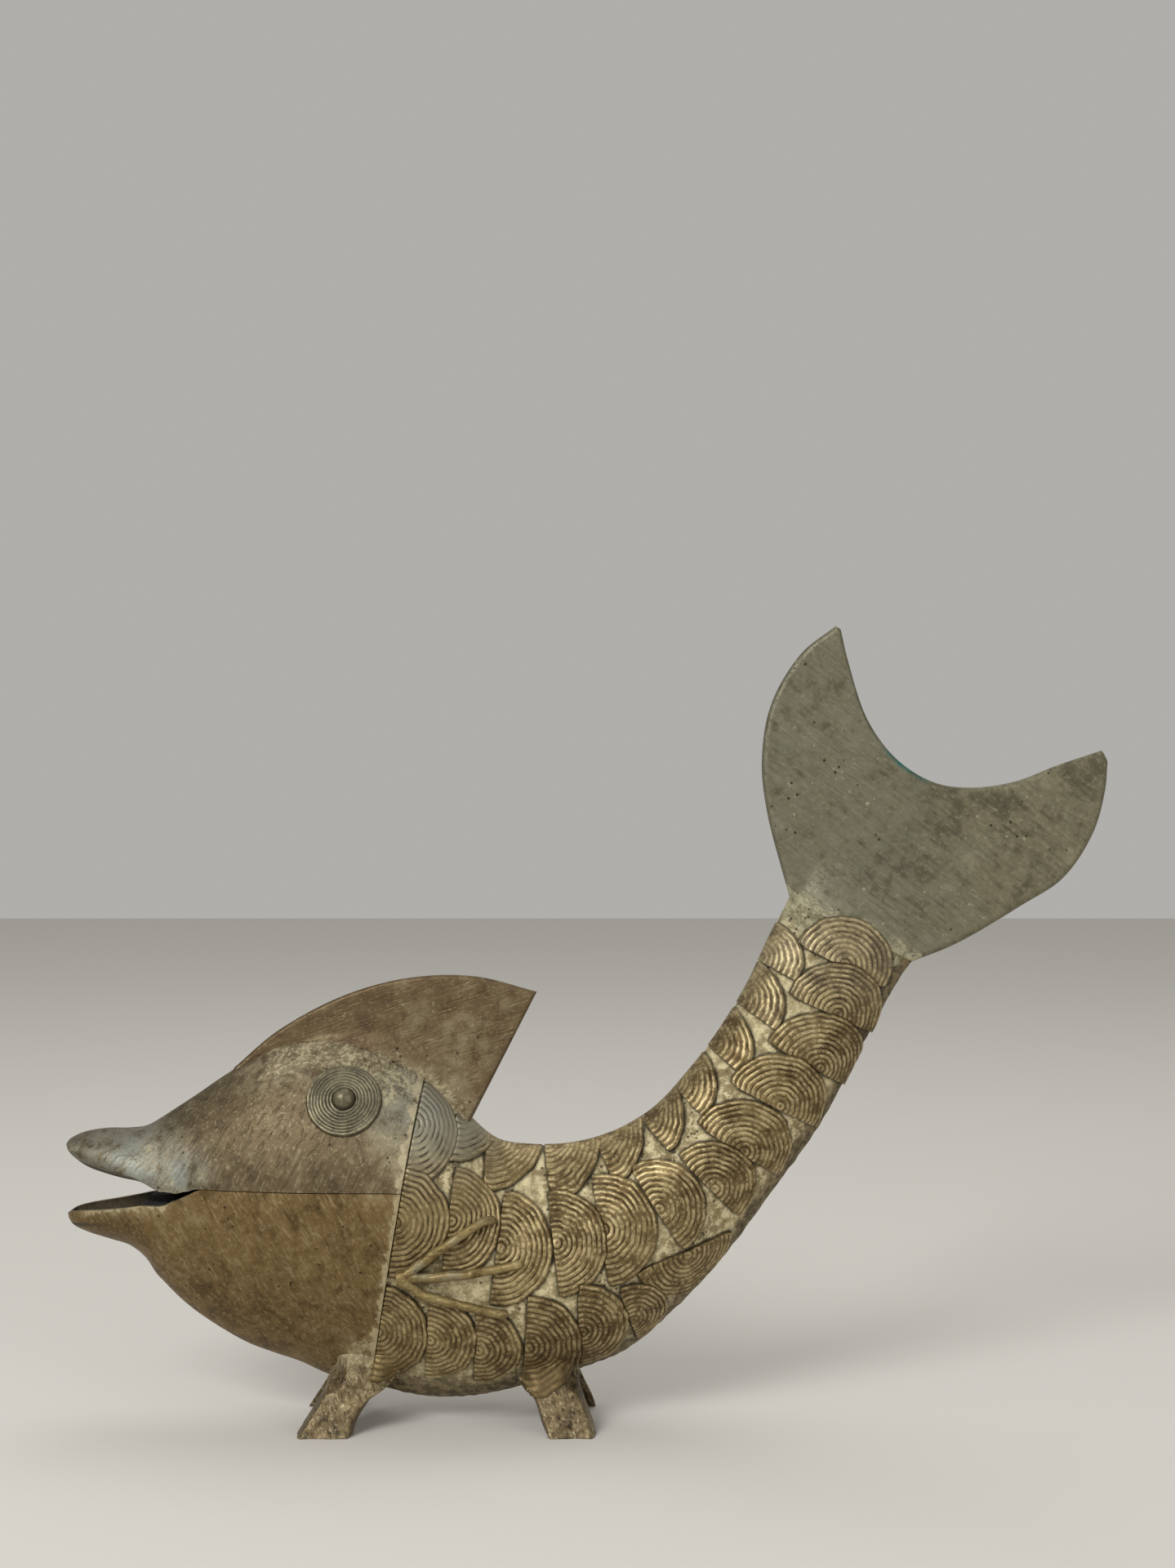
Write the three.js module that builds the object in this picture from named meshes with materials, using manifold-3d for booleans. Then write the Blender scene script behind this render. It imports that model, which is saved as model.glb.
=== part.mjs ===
// A cast bronze fish on four short legs, with a beaked head, a tall dorsal fin and its tail curled up behind.
// Millimetres, +Z up, the head towards -X. The fish's left side faces -Y. It stands on z = 0.
import * as THREE from 'three';
import { mergeVertices } from 'three/addons/utils/BufferGeometryUtils.js';
import Module from 'manifold-3d';

const wasm = await Module();
wasm.setup();

// Gaps and thicknesses
const clearance = 0.3; // between neighbouring pieces
const headWall = 3.2;
const bodyWall = 3;
const beakWall = 2.4;
const scaleRelief = 1.6; // of a coiled scale above the bare body
const threadDepth = 0.5; // of the grooves between a scale's threads
const bodyWidth = 56; // across the cheeks, the widest place
const ridgeSharpness = 1.5; // of the back and belly: 1 is an ellipse, and more draws them in

// The seam round the head, which parts its upper shell from its lower one
const seamHeight = 87.5;

// Stations along the fish from the mouth to the tail root. Each has a point on the back, a point on the belly,
// and its width as a share of bodyWidth.
const stations = [
  { back: [-154.5, 111], belly: [-157, 53], swell: 0.53 },
  { back: [-143, 118.5], belly: [-147, 43], swell: 0.65 },
  { back: [-130.5, 127], belly: [-136, 35], swell: 0.77 },
  { back: [-115.5, 135.5], belly: [-121.5, 27], swell: 0.88 },
  { back: [-98, 139.5], belly: [-106.5, 22], swell: 0.96 },
  { back: [-80, 137.5], belly: [-93, 16], swell: 0.99 },
  { back: [-59, 127.5], belly: [-79, 11.5], swell: 1 },
  { back: [-44, 112.5], belly: [-59, 7], swell: 1 },
  { back: [-33, 103.5], belly: [-39.5, 7.5], swell: 0.98 },
  { back: [-19, 101.3], belly: [-22, 11.5], swell: 0.96 },
  { back: [-2.5, 102.5], belly: [-3, 17], swell: 0.92 },
  { back: [11.5, 107], belly: [14, 24], swell: 0.87 },
  { back: [24.5, 115], belly: [31, 38], swell: 0.8 },
  { back: [37.5, 129], belly: [50, 58], swell: 0.71 },
  { back: [48.5, 144], belly: [68, 82], swell: 0.62 },
  { back: [58, 160], belly: [86, 107], swell: 0.53 },
  { back: [66, 177.5], belly: [102, 136.5], swell: 0.43 },
  { back: [72.5, 191], belly: [120, 166.5], swell: 0.3 },
  { back: [76, 200], belly: [130, 174], swell: 0.24 },
];
const gill = 6; // the station where the head shells end and the body shell starts
const root = 17; // the station where the body ends and the tail fin starts
const bodyWaist = 0.5; // depth of the widest line behind the gills, as a share of the body's depth

// The beak, as stations from its tip to the head: upper edge, lower edge and width
const upperBeak = [
  { high: [-190, 101.2], low: [-190, 99.9], width: 2.5 },
  { high: [-188.8, 102.6], low: [-187.8, 96.9], width: 11 },
  { high: [-184, 105], low: [-182.5, 92.7], width: 17.5 },
  { high: [-176, 106.5], low: [-175.5, 90.1], width: 24 },
  { high: [-166.5, 106.7], low: [-167, 88.2], width: 27.5 },
  { high: [-160.5, 107.6], low: [-161, 87.8], width: 29 },
];
const lowerBeak = [
  { high: [-189.4, 75.8], low: [-189.2, 73.4], width: 2.5 },
  { high: [-187.4, 76.9], low: [-187.2, 71], width: 12 },
  { high: [-182, 77.9], low: [-182, 68.5], width: 19 },
  { high: [-174, 78.8], low: [-174, 66], width: 25 },
  { high: [-166.5, 79.8], low: [-166.5, 63.5], width: 27.5 },
  { high: [-160.5, 80.8], low: [-161, 59], width: 29 },
];
const mouthGap = 4.5; // between the lips where the beak meets the head
const mouthCorner = 1.2; // the station where the lips meet
const troughDepth = 5.5; // of the hollow in the lower beak
const throatWidth = 18;
const throatHeight = 7;

// Dorsal fin, a plate with a pointed rear tip and a root that flares out to the head
const dorsalCrest = [[-129, 128.5], [-113, 142], [-89, 154.8], [-65, 161.3], [-41, 161.8], [-18.5, 156.2]];
const dorsalFront = 2.1; // station where the fin leaves the brow
const dorsalRear = 7.05; // station where its rear edge meets the back
const dorsalPlate = 3;
const dorsalRim = 2.2;
const dorsalRoot = 11;
const dorsalFlare = 0.4; // share of the height over which the root thins out to the plate

// Tail fin, a plate with a crescent bay between two lobes and a root as wide as the body's end
const tailUpperEdge = [[90.5, 289.6], [78, 279.6], [67, 261], [63.6, 240], [65.5, 222], [70, 204]];
const tailLowerEdge = [[134.7, 173.8], [158.6, 187.8], [173.5, 197.6], [184.5, 214], [189, 230], [189.8, 239.5]];
const tailBay = [[92.5, 288.2], [95.4, 276], [102.5, 255], [113, 241], [126, 232.8], [139, 230.7], [155.6, 232.8],
  [172, 239], [187.6, 244.2]];
const tailPlate = 4;
const tailRim = 2.4;
const tailFlare = 26; // length over which the root thins out to the plate

// Eyes
const eyePlace = [-86.8, 119.3];
const eyeRadius = 13.6;
const eyeRelief = 1.5;
const bossRadius = 4;
const bossHeight = 4.2;

// Pectoral fins: three rods from one root, by their places on the fish's side
const rodThickness = 2.8;
const rodRoot = [-66, 57.5];
const rodRootRadius = 3;
const rods = [
  [[-51.6, 68.2], [-40.1, 75.9], [-32.9, 77.7]],
  [[-51.6, 58.7], [-34.3, 60.7], [-22.6, 62.7]],
  [[-57.3, 52.1], [-45.8, 48.9], [-28, 44.9]],
];

// Legs, folded plates whose web faces outwards. Each level has its height, the web's two ends, and how far in
// from the cheeks the web stands.
const legPlate = 2.6;
const legFlange = 8; // of the folded edges, inwards
const flangeSplay = 1.5;
const frontLeg = [
  { height: 0, ends: [-102.5, -85], inset: 3.5 },
  { height: 5, ends: [-99.5, -83.5], inset: 5.5 },
  { height: 12, ends: [-95, -78.5], inset: 8 },
  { height: 16, ends: [-93, -72.5], inset: 9.5 },
  { height: 20, ends: [-92, -69], inset: 11 },
  { height: 30, ends: [-91.5, -68], inset: 15 },
];
const rearLeg = [
  { height: 0, ends: [-13.5, 2], inset: 3.5 },
  { height: 5, ends: [-15.5, 0.5], inset: 6 },
  { height: 12, ends: [-18.5, -2.5], inset: 9.5 },
  { height: 16, ends: [-23, -4], inset: 11.5 },
  { height: 22, ends: [-26, -4.5], inset: 15 },
  { height: 30, ends: [-27, -6], inset: 18 },
];

// Rows of scales from head to tail. Each scale is a half disc with a straight edge towards the head. It has its
// pitch from the one before it, its depth below the back as a share of the body's depth there, its radius, and
// its heading: the way that it opens, in degrees above level. Stretch is how much broader than long it is, and a
// pressed one is made as one piece with the one before it.
const backRow = [
  { pitch: 0, depth: 0.141, radius: 16.9, heading: -12 },
  { pitch: 16.2, depth: 0, radius: 16.8, heading: -20, stretch: 1.65 },
  { pitch: 13.7, depth: 0, radius: 20.2, heading: 0 },
  { pitch: 21.9, depth: 0, radius: 19.4, heading: 8 },
  { pitch: 18.8, depth: 0, radius: 17.3, heading: 26 },
  { pitch: 18.1, depth: 0, radius: 16.4, heading: 46 },
  { pitch: 17.2, depth: 0, radius: 15.2, heading: 46 },
  { pitch: 19.3, depth: 0, radius: 15.5, heading: 50 },
  { pitch: 18.7, depth: 0, radius: 15.7, heading: 55 },
  { pitch: 17, depth: 0, radius: 13.9, heading: 61 },
];
const flankRow = [
  { pitch: 0, depth: 0.436, radius: 19, heading: -7 },
  { pitch: 19.7, depth: 0.325, radius: 18.1, heading: -6 },
  { pitch: 19.8, depth: 0.364, radius: 18.1, heading: -7, stretch: 1.12 },
  { pitch: 20, depth: 0.366, radius: 17.9, heading: 7 },
  { pitch: 17.2, depth: 0.36, radius: 19.1, heading: 9 },
  { pitch: 21, depth: 0.42, radius: 16.8, heading: 33 },
  { pitch: 20.6, depth: 0.591, radius: 16.3, heading: 44 },
  { pitch: 16.8, depth: 0.608, radius: 18.4, heading: 57 },
  { pitch: 20.5, depth: 0.632, radius: 18.4, heading: 62 },
  { pitch: 19.7, depth: 0.748, radius: 20, heading: 60 },
  { pitch: 20.8, depth: 0.685, radius: 18.2, heading: 65 },
  { pitch: 18.1, depth: 0.567, radius: 17.4, heading: 63 },
];
const bellyRow = [
  { pitch: 0, depth: 0.794, radius: 18.1, heading: -7 },
  { pitch: 19.1, depth: 0.751, radius: 16.6, heading: -4 },
  { pitch: 17.4, depth: 0.765, radius: 15.6, heading: -3 },
  { pitch: 17.7, depth: 0.785, radius: 19.3, heading: -4 },
  { pitch: 19.8, depth: 0.776, radius: 17.5, heading: 0 },
  { pitch: 18.6, depth: 0.828, radius: 14, heading: 18 },
  { pitch: 30.3, depth: 0.748, radius: 18.1, heading: -70, pressed: true },
];
const sharedBackScales = 9; // the last ones of the back row lie over the ridge and serve both sides
const edgeSetback = 1.3; // of a scale's straight edge, towards the head from the middle of its rings
const flankStretch = 1.06; // stretch of a flank or belly scale that gives none
const backStretch = 1.3;
const threads = 3; // raised threads on a scale

// How finely the pieces are faceted
const sectionSides = 20;
const bodyRings = 14;
const headRings = 9;
const hollowRings = 9;
const discSteps = 14;
const rodSteps = 5;
const stride = 3; // longest step of a walk over the skin
const keepApart = 0.001; // between points that slide along the middle plane

// The lines of the fish
const last = stations.length - 1;
const point = ([x, z]) => new THREE.Vector3(x, 0, z);
const lineOf = (side) =>
  new THREE.CatmullRomCurve3(stations.map((s) => point(s[side])), false, 'centripetal');
const backLine = lineOf('back');
const bellyLine = lineOf('belly');
const swellLine = new THREE.CatmullRomCurve3(stations.map((s, i) => new THREE.Vector3(i, s.swell, 0)));

// The widest line's depth as a share: on the seam along the head, and easing to the middle behind the gills
function waistShare(station) {
  const back = backLine.getPoint(Math.min(station, gill) / last);
  const belly = bellyLine.getPoint(Math.min(station, gill) / last);
  const onSeam = (back.z - seamHeight) / (back.z - belly.z);
  return THREE.MathUtils.lerp(onSeam, bodyWaist, THREE.MathUtils.smoothstep(station, gill, gill + 3));
}

// The fish's section at a station: its highest, widest and lowest points in the middle plane, and half its width
function section(station, inset = 0) {
  const high = backLine.getPoint(station / last);
  const low = bellyLine.getPoint(station / last);
  const waist = high.clone().lerp(low, waistShare(station));
  const down = low.clone().sub(high).normalize();
  high.addScaledVector(down, inset);
  low.addScaledVector(down, -inset);
  return { high, waist, low, half: (swellLine.getPoint(station / last).y * bodyWidth) / 2 - inset };
}

// A point of a section: turn runs from 0 on the back over the left side to pi on the belly
function onSection({ high, waist, low, half }, turn) {
  const side = Math.sin(turn);
  const rise = Math.sqrt(1 - Math.abs(side) ** (2 / ridgeSharpness));
  const spot = waist.clone().lerp(Math.cos(turn) > 0 ? high : low, rise);
  spot.y = -half * side;
  return spot;
}

// The skin's point, its two directions and its normal at a place on the fish
function skinAt(station, turn, inset) {
  const nudge = 0.01;
  const here = onSection(section(station, inset), turn);
  const along = onSection(section(station + nudge, inset), turn)
    .sub(onSection(section(station - nudge, inset), turn)).divideScalar(2 * nudge);
  const round = onSection(section(station, inset), turn + nudge)
    .sub(onSection(section(station, inset), turn - nudge)).divideScalar(2 * nudge);
  const normal = round.clone().cross(along).normalize();
  return { point: here, along, round, normal };
}

// The place on the left flank that is seen from the side at x, z
function placeAt([x, z]) {
  const target = new THREE.Vector3(x, 0, z);
  let from = 0;
  let to = last - 1;
  for (let i = 0; i < 30; i++) {
    const middle = (from + to) / 2;
    const { high, low } = section(middle);
    const side = target.clone().sub(high).cross(low.clone().sub(high)).y;
    if (side > 0) from = middle;
    else to = middle;
  }
  const { high, low } = section(from);
  const depth = target.distanceTo(high) / low.distanceTo(high);
  return { station: from, turn: turnAt(from, depth) };
}

// The turn at a depth below the back, given as a share
function turnAt(station, depth) {
  const waist = waistShare(station);
  const above = depth < waist;
  const rise = above ? 1 - depth / waist : Math.min(1, (depth - waist) / (1 - waist));
  const turn = Math.asin((1 - rise ** 2) ** (ridgeSharpness / 2));
  return above ? turn : Math.PI - turn;
}

// Walks straight ahead over the skin and gives the places passed at these distances. A walk on one side goes no
// further than the middle plane, and slides along it.
function walk(place, heading, distances, inset, oneSided) {
  let { station, turn } = place;
  const ahead = heading.clone();
  const passed = [];
  let travelled = 0;
  for (const goal of distances) {
    while (goal - travelled > 1e-9) {
      const step = Math.min(stride, goal - travelled);
      const { along, round, normal } = skinAt(station, turn, inset);
      ahead.addScaledVector(normal, -ahead.dot(normal)).normalize();
      const a = along.lengthSq();
      const b = along.dot(round);
      const c = round.lengthSq();
      const p = ahead.dot(along) * step;
      const q = ahead.dot(round) * step;
      station += (p * c - q * b) / (a * c - b * b);
      turn += (q * a - p * b) / (a * c - b * b);
      if (oneSided) turn = THREE.MathUtils.clamp(turn, 0, Math.PI);
      travelled += step;
    }
    const { point: spot, normal } = skinAt(station, turn, inset);
    if (oneSided && spot.y > -keepApart) spot.y = keepApart * travelled;
    passed.push({ spot, normal });
  }
  return passed;
}

// Solids
function solid(geometry) {
  const bare = geometry.index ? geometry.clone() : geometry;
  bare.deleteAttribute('normal');
  bare.deleteAttribute('uv');
  const merged = mergeVertices(bare, 1e-4);
  return new wasm.Manifold(new wasm.Mesh({
    numProp: 3,
    vertProperties: merged.attributes.position.array,
    triVerts: new Uint32Array(merged.index.array),
  }));
}

function geometryOf(points, faces) {
  const geometry = new THREE.BufferGeometry().setFromPoints(points);
  geometry.setIndex(faces.flat());
  return geometry;
}

// The triangles that close a ring of points, facing as the ring turns or the other way
function capOf(ring, first, flip) {
  const normal = new THREE.Vector3();
  ring.forEach((p, i) => normal.add(p.clone().cross(ring[(i + 1) % ring.length])));
  normal.normalize();
  const across = ring[0].clone().sub(ring[Math.floor(ring.length / 2)]).normalize();
  const up = normal.clone().cross(across);
  const flat = ring.map((p) => new THREE.Vector2(p.dot(across), p.dot(up)));
  return THREE.ShapeUtils.triangulateShape(flat, []).map(([a, b, c]) => {
    const area = flat[b].clone().sub(flat[a]).cross(flat[c].clone().sub(flat[a]));
    return area > 0 !== flip ? [first + a, first + b, first + c] : [first + a, first + c, first + b];
  });
}

// A closed solid through rings of as many points each. Its facets are the same on the left and the right.
function loft(rings) {
  const count = rings[0].length;
  const faces = [...capOf(rings[0], 0, true), ...capOf(rings.at(-1), count * (rings.length - 1), false)];
  for (let r = 0; r < rings.length - 1; r++) {
    for (let i = 0; i < count; i++) {
      const a = r * count + i;
      const b = r * count + ((i + 1) % count);
      if (i < count / 2) faces.push([a, b, a + count], [b, b + count, a + count]);
      else faces.push([a, b, b + count], [a, b + count, a + count]);
    }
  }
  return solid(geometryOf(rings.flat(), faces));
}

const ringOf = (shape, sides = sectionSides) =>
  Array.from({ length: sides }, (_, i) => onSection(shape, (2 * Math.PI * i) / sides));

const spread = (from, to, count) => Array.from({ length: count + 1 }, (_, i) => from + ((to - from) * i) / count);

// The fish's own form between two stations, drawn in by an inset
const form = (from, to, count, inset, sides = sectionSides) =>
  loft(spread(from, to, count).map((s) => ringOf(section(s, inset), sides)));

// A block that covers everything on one side of the line from a to b, starting a gap away from it
const blockSize = 500; // longer than the fish
const block = () => new THREE.BoxGeometry(blockSize, blockSize, blockSize);
function beyond(a, b, gap) {
  const line = b.clone().sub(a).normalize();
  const out = new THREE.Vector3(line.z, 0, -line.x);
  const across = new THREE.Vector3(0, 1, 0);
  const turned = new THREE.Matrix4().makeBasis(out, across, out.clone().cross(across)).setPosition(a);
  return solid(block().translate(blockSize / 2 + gap, 0, 0).applyMatrix4(turned));
}

const atGill = section(gill);
const atRoot = section(root);
const behindGill = beyond(atGill.low, atGill.high, 0);
const aheadOfGill = beyond(atGill.high, atGill.low, -clearance);
const pastRoot = beyond(atRoot.low, atRoot.high, 0);
const toBlockMiddle = (blockSize - clearance) / 2;
const rightHalf = solid(block().translate(0, toBlockMiddle, 0));
const aboveSeam = solid(block().translate(0, 0, seamHeight + toBlockMiddle));
const belowSeam = solid(block().translate(0, 0, seamHeight - toBlockMiddle));

// What sits on the skin is cut by these, so that it keeps its clearance
const bareBody = form(gill - 0.5, last, bodyRings, scaleRelief);
const headSkin = form(0, gill, headRings, -clearance);
const scaleTops = form(gill - 0.5, last, 2 * bodyRings, -2 * clearance, 2 * sectionSides);
const wholeSkin = headSkin.add(scaleTops);

// The largest body of a solid that a cut may have left in several
const largest = (cut) => cut.decompose().reduce((a, b) => (a.volume() > b.volume() ? a : b));

// Head

// A section of the beak or head above or below the mouth: where waist is 0 its widest line is its high edge
function beakSection({ high, low, width }, waist) {
  const top = point(high);
  const bottom = point(low);
  return { high: top, low: bottom, waist: top.clone().lerp(bottom, waist), half: width / 2 };
}

// How far the lower lip lies below the seam at a station: the gap closes at the mouth's corner
const lipGap = (station) => mouthGap * Math.max(0, 1 - station / mouthCorner);

function headHalf(beak, side) {
  const beakRings = beak.map((b, i) => {
    const towardsHead = (i / beak.length) ** 2;
    const waist = side === 'high' ? THREE.MathUtils.lerp(0.55, 1, towardsHead) : 0;
    return ringOf(beakSection(b, waist));
  });
  const headSections = spread(0, gill, headRings).map((station) => {
    const shape = section(station);
    const edge = shape.waist.clone();
    if (side === 'high') return { ...shape, low: edge };
    edge.z -= lipGap(station);
    return { ...shape, waist: edge, high: edge };
  });
  return loft([...beakRings, ...headSections.map((s) => ringOf(s))]);
}

// The hollow runs from the mouth through the throat into the head
function headHollow() {
  const throat = [-177, -163, -152].map((x, i) => ({
    high: new THREE.Vector3(x, 0, seamHeight + throatHeight / 2 + i * 2),
    low: new THREE.Vector3(x, 0, seamHeight - throatHeight / 2 - i * 3),
    waist: new THREE.Vector3(x, 0, seamHeight),
    half: throatWidth / 2 + i,
  }));
  const inside = spread(1.2, gill + 0.4, hollowRings).map((s) => section(s, headWall));
  return loft([...throat, ...inside].map((s) => ringOf(s)));
}

// The spoon-like hollow of the lower beak
function trough() {
  const rings = lowerBeak.slice(1).map(({ high, low, width }) => {
    const rim = point(high);
    const floor = rim.clone().lerp(point(low), 0.5);
    floor.z = Math.max(floor.z, rim.z - troughDepth);
    const lid = rim.clone().add(new THREE.Vector3(0, 0, 4));
    return ringOf({ high: lid, low: floor, waist: rim, half: width / 2 - beakWall });
  });
  return loft(rings);
}

const hollow = headHollow();
const headUpper = headHalf(upperBeak, 'high').subtract(belowSeam).subtract(hollow).subtract(behindGill);
const headLower = headHalf(lowerBeak, 'low').subtract(aboveSeam).subtract(hollow).subtract(trough())
  .subtract(behindGill);

// Body shell, open at both ends
const bodyShell = form(gill - 0.5, last, bodyRings, scaleRelief + clearance)
  .subtract(form(gill - 1, root + 0.5, hollowRings, scaleRelief + clearance + bodyWall))
  .subtract(aheadOfGill).subtract(pastRoot);

// The point in the middle plane at a depth below the back
function inside(station, depth) {
  const { high, low } = section(station);
  return high.lerp(low, depth);
}

// A plate in the middle plane between two edges of as many points each. halfAt gives half its thickness at a
// point and at a share of the way from the outer edge to the inner one.
function plate(outer, inner, rows, halfAt) {
  const columns = outer.length;
  const points = [];
  for (const side of [-1, 1]) {
    for (let r = 0; r <= rows; r++) {
      for (let c = 0; c < columns; c++) {
        const spot = outer[c].clone().lerp(inner[c], r / rows);
        spot.y = side * halfAt(spot, r / rows);
        points.push(spot);
      }
    }
  }
  const other = points.length / 2;
  const faces = [];
  const quad = (a, b, c, d) => faces.push([a, b, c], [a, c, d]);
  for (let r = 0; r < rows; r++) {
    for (let c = 0; c < columns - 1; c++) {
      const a = r * columns + c;
      const b = a + columns;
      quad(a, a + 1, b + 1, b);
      quad(other + a, other + b, other + b + 1, other + a + 1);
    }
    const start = r * columns;
    const end = start + columns - 1;
    quad(start, start + columns, other + start + columns, other + start);
    quad(end, other + end, other + end + columns, end + columns);
  }
  for (let c = 0; c < columns - 1; c++) {
    const far = rows * columns + c;
    quad(c, other + c, other + c + 1, c + 1);
    quad(far, far + 1, other + far + 1, other + far);
  }
  const made = solid(geometryOf(points, faces));
  return made.volume() > 0 ? made : solid(geometryOf(points, faces.map(([a, b, c]) => [a, c, b])));
}

const smoothLine = (points, count) =>
  new THREE.CatmullRomCurve3(points.map(point), false, 'centripetal').getSpacedPoints(count);

// The dorsal fin stands on the back and is cut to it
function dorsalFin() {
  const steps = 14;
  const crest = smoothLine(dorsalCrest, steps);
  const base = spread(dorsalFront, dorsalRear, steps).map((station) => inside(station, 0.05));
  return plate(base, crest, 4, (spot, up) => {
    const thin = THREE.MathUtils.smoothstep(up, 0, dorsalFlare);
    return (up === 1 ? dorsalRim : THREE.MathUtils.lerp(dorsalRoot, dorsalPlate, thin)) / 2;
  }).subtract(wholeSkin);
}

// The tail fin's root has the section of the body's end, and thins out to the plate
function tailFin() {
  const shape = section(root, scaleRelief + clearance);
  const edgeSteps = 9;
  const rootSteps = 5;
  const outer = [
    ...smoothLine([...tailUpperEdge, [shape.high.x, shape.high.z]], edgeSteps),
    ...spread(0, 1, rootSteps).slice(1, -1).map((share) => shape.high.clone().lerp(shape.low, share)),
    ...smoothLine([[shape.low.x, shape.low.z], ...tailLowerEdge], edgeSteps),
  ];
  const inner = smoothLine(tailBay, outer.length - 1);
  const along = shape.low.clone().sub(shape.high);
  const depth = along.length();
  along.normalize();
  return plate(outer, inner, 5, (spot, share) => {
    const from = spot.clone().sub(shape.high);
    const down = THREE.MathUtils.clamp(from.dot(along) / depth, 0, 1);
    const away = from.clone().addScaledVector(along, -from.dot(along)).length();
    const lens = 2 * shape.half * Math.sqrt(1 - (2 * down - 1) ** 2);
    const edge = share === 0 || share === 1 ? tailRim : tailPlate;
    const thin = THREE.MathUtils.smoothstep(away, 0, tailFlare);
    return Math.max(THREE.MathUtils.lerp(lens, edge, thin), edge) / 2;
  }).subtract(beyond(shape.high, shape.low, -clearance));
}

const dorsal = dorsalFin();
const tail = tailFin();
const finSpace = [[1, 0, 0], [-1, 0, 0], [0, 1, 0], [0, -1, 0], [0, 0, -1]]
  .flatMap((way) => [dorsal, tail].map((fin) => fin.translate(way.map((w) => w * clearance))))
  .reduce((a, b) => a.add(b));

// Discs of coiled thread laid on the skin

// The points of a disc over the skin: for each direction, the places at its radii
function discGrid({ place, heading, inset, stretch = 1, oneSided }, radii) {
  const { normal } = skinAt(place.station, place.turn, inset);
  const across = normal.clone().cross(heading);
  return Array.from({ length: discSteps }, (_, i) => {
    const swing = (2 * Math.PI * i) / discSteps;
    const ahead = heading.clone().multiplyScalar(Math.cos(swing))
      .addScaledVector(across, stretch * Math.sin(swing));
    const length = ahead.length();
    return walk(place, ahead, radii.map((radius) => radius * length), inset, oneSided);
  });
}

// A closed disc: profile lists its rings from the middle out, as radius and height above the skin. How it lies is
// its place, its heading, the inset of the skin below it, and a stretch where it is broader than long.
function disc(lie, profile, depth) {
  const centre = skinAt(lie.place.station, lie.place.turn, lie.inset);
  const grid = discGrid(lie, profile.slice(1).map((ring) => ring[0]));
  const rings = profile.length - 1;
  const lifted = ({ spot, normal }, lift) => spot.clone().addScaledVector(normal, lift);
  const points = grid.flatMap((line) => line.map((spot, r) => lifted(spot, profile[r + 1][1])));
  const under = points.length;
  points.push(...grid.map((line) => lifted(line.at(-1), -depth)));
  const top = points.length;
  const bottom = top + 1;
  const middle = { spot: centre.point, normal: centre.normal };
  points.push(lifted(middle, profile[0][1]), lifted(middle, -depth));
  const faces = [];
  for (let c = 0; c < discSteps; c++) {
    const d = (c + 1) % discSteps;
    const edge = c * rings + rings - 1;
    const nextEdge = d * rings + rings - 1;
    faces.push([top, c * rings, d * rings], [bottom, under + d, under + c]);
    faces.push([edge, under + c, nextEdge], [nextEdge, under + c, under + d]);
    for (let r = 0; r < rings - 1; r++) {
      const a = c * rings + r;
      const b = d * rings + r;
      faces.push([a, a + 1, b], [b, a + 1, b + 1]);
    }
  }
  return solid(geometryOf(points, faces));
}

// Rings of a coil: crests and grooves by turns, from the middle out to a low rim
function coil(from, radius, relief) {
  const pitch = (radius - from) / (2 * threads);
  const rings = spread(1, 2 * threads - 1, 2 * threads - 2)
    .map((i) => [from + pitch * (i - 0.5), i % 2 ? relief : relief - threadDepth]);
  return [...rings, [radius, relief - threadDepth]];
}

const scaleGap = 0.45; // between a scale and the next one trimmed to it
const cutterReach = 3; // how far a trim goes above and below the skin
const discRoot = 2; // how far a disc reaches into the skin before it is cut to it
const placed = [];

// A scale is trimmed by its neighbours laid before it and keeps its gap to them
function layScale(place, { radius, heading, pressed, stretch }, onRidge) {
  const { normal, point: centre } = skinAt(place.station, place.turn, scaleRelief);
  const angle = THREE.MathUtils.degToRad(heading);
  const opening = new THREE.Vector3(Math.cos(angle), 0, Math.sin(angle));
  const edge = centre.clone().addScaledVector(opening, -edgeSetback);
  const edgeEnd = edge.clone().add(new THREE.Vector3(opening.z, 0, -opening.x));
  const ahead = opening.clone().addScaledVector(normal, -opening.dot(normal)).normalize();
  const lie = { place, heading: ahead, inset: scaleRelief, stretch, oneSided: !onRidge };
  const profile = [[0, scaleRelief], ...coil(0, radius, scaleRelief).slice(1)];
  let scale = disc(lie, profile, discRoot)
    .subtract(beyond(edge, edgeEnd, 0)).subtract(bareBody).subtract(aheadOfGill).subtract(finSpace);
  if (!onRidge) scale = scale.subtract(rightHalf);
  for (const before of pressed ? placed.slice(0, -1) : placed) {
    if (before.centre.distanceTo(centre) > (before.radius + radius) * stretch + 2) continue;
    scale = scale.subtract(before.cutter);
    if (onRidge) scale = scale.subtract(before.cutter.mirror([0, 1, 0]));
  }
  const outline = spread(0, radius + 2 * scaleGap, 4).map((r) => [r, cutterReach]);
  const cutter = disc(lie, outline, cutterReach).subtract(beyond(edge, edgeEnd, scaleGap));
  placed.push({ centre, radius, cutter });
  return largest(scale);
}

// The station where a scale's middle lies a pitch behind the one before it
function nextStation(station, depth, pitch, nextDepth) {
  const before = inside(station, depth);
  let from = station;
  let to = Math.min(station + 4, last);
  for (let i = 0; i < 30; i++) {
    const middle = (from + to) / 2;
    if (inside(middle, nextDepth).distanceTo(before) < pitch) from = middle;
    else to = middle;
  }
  return from;
}

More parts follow.
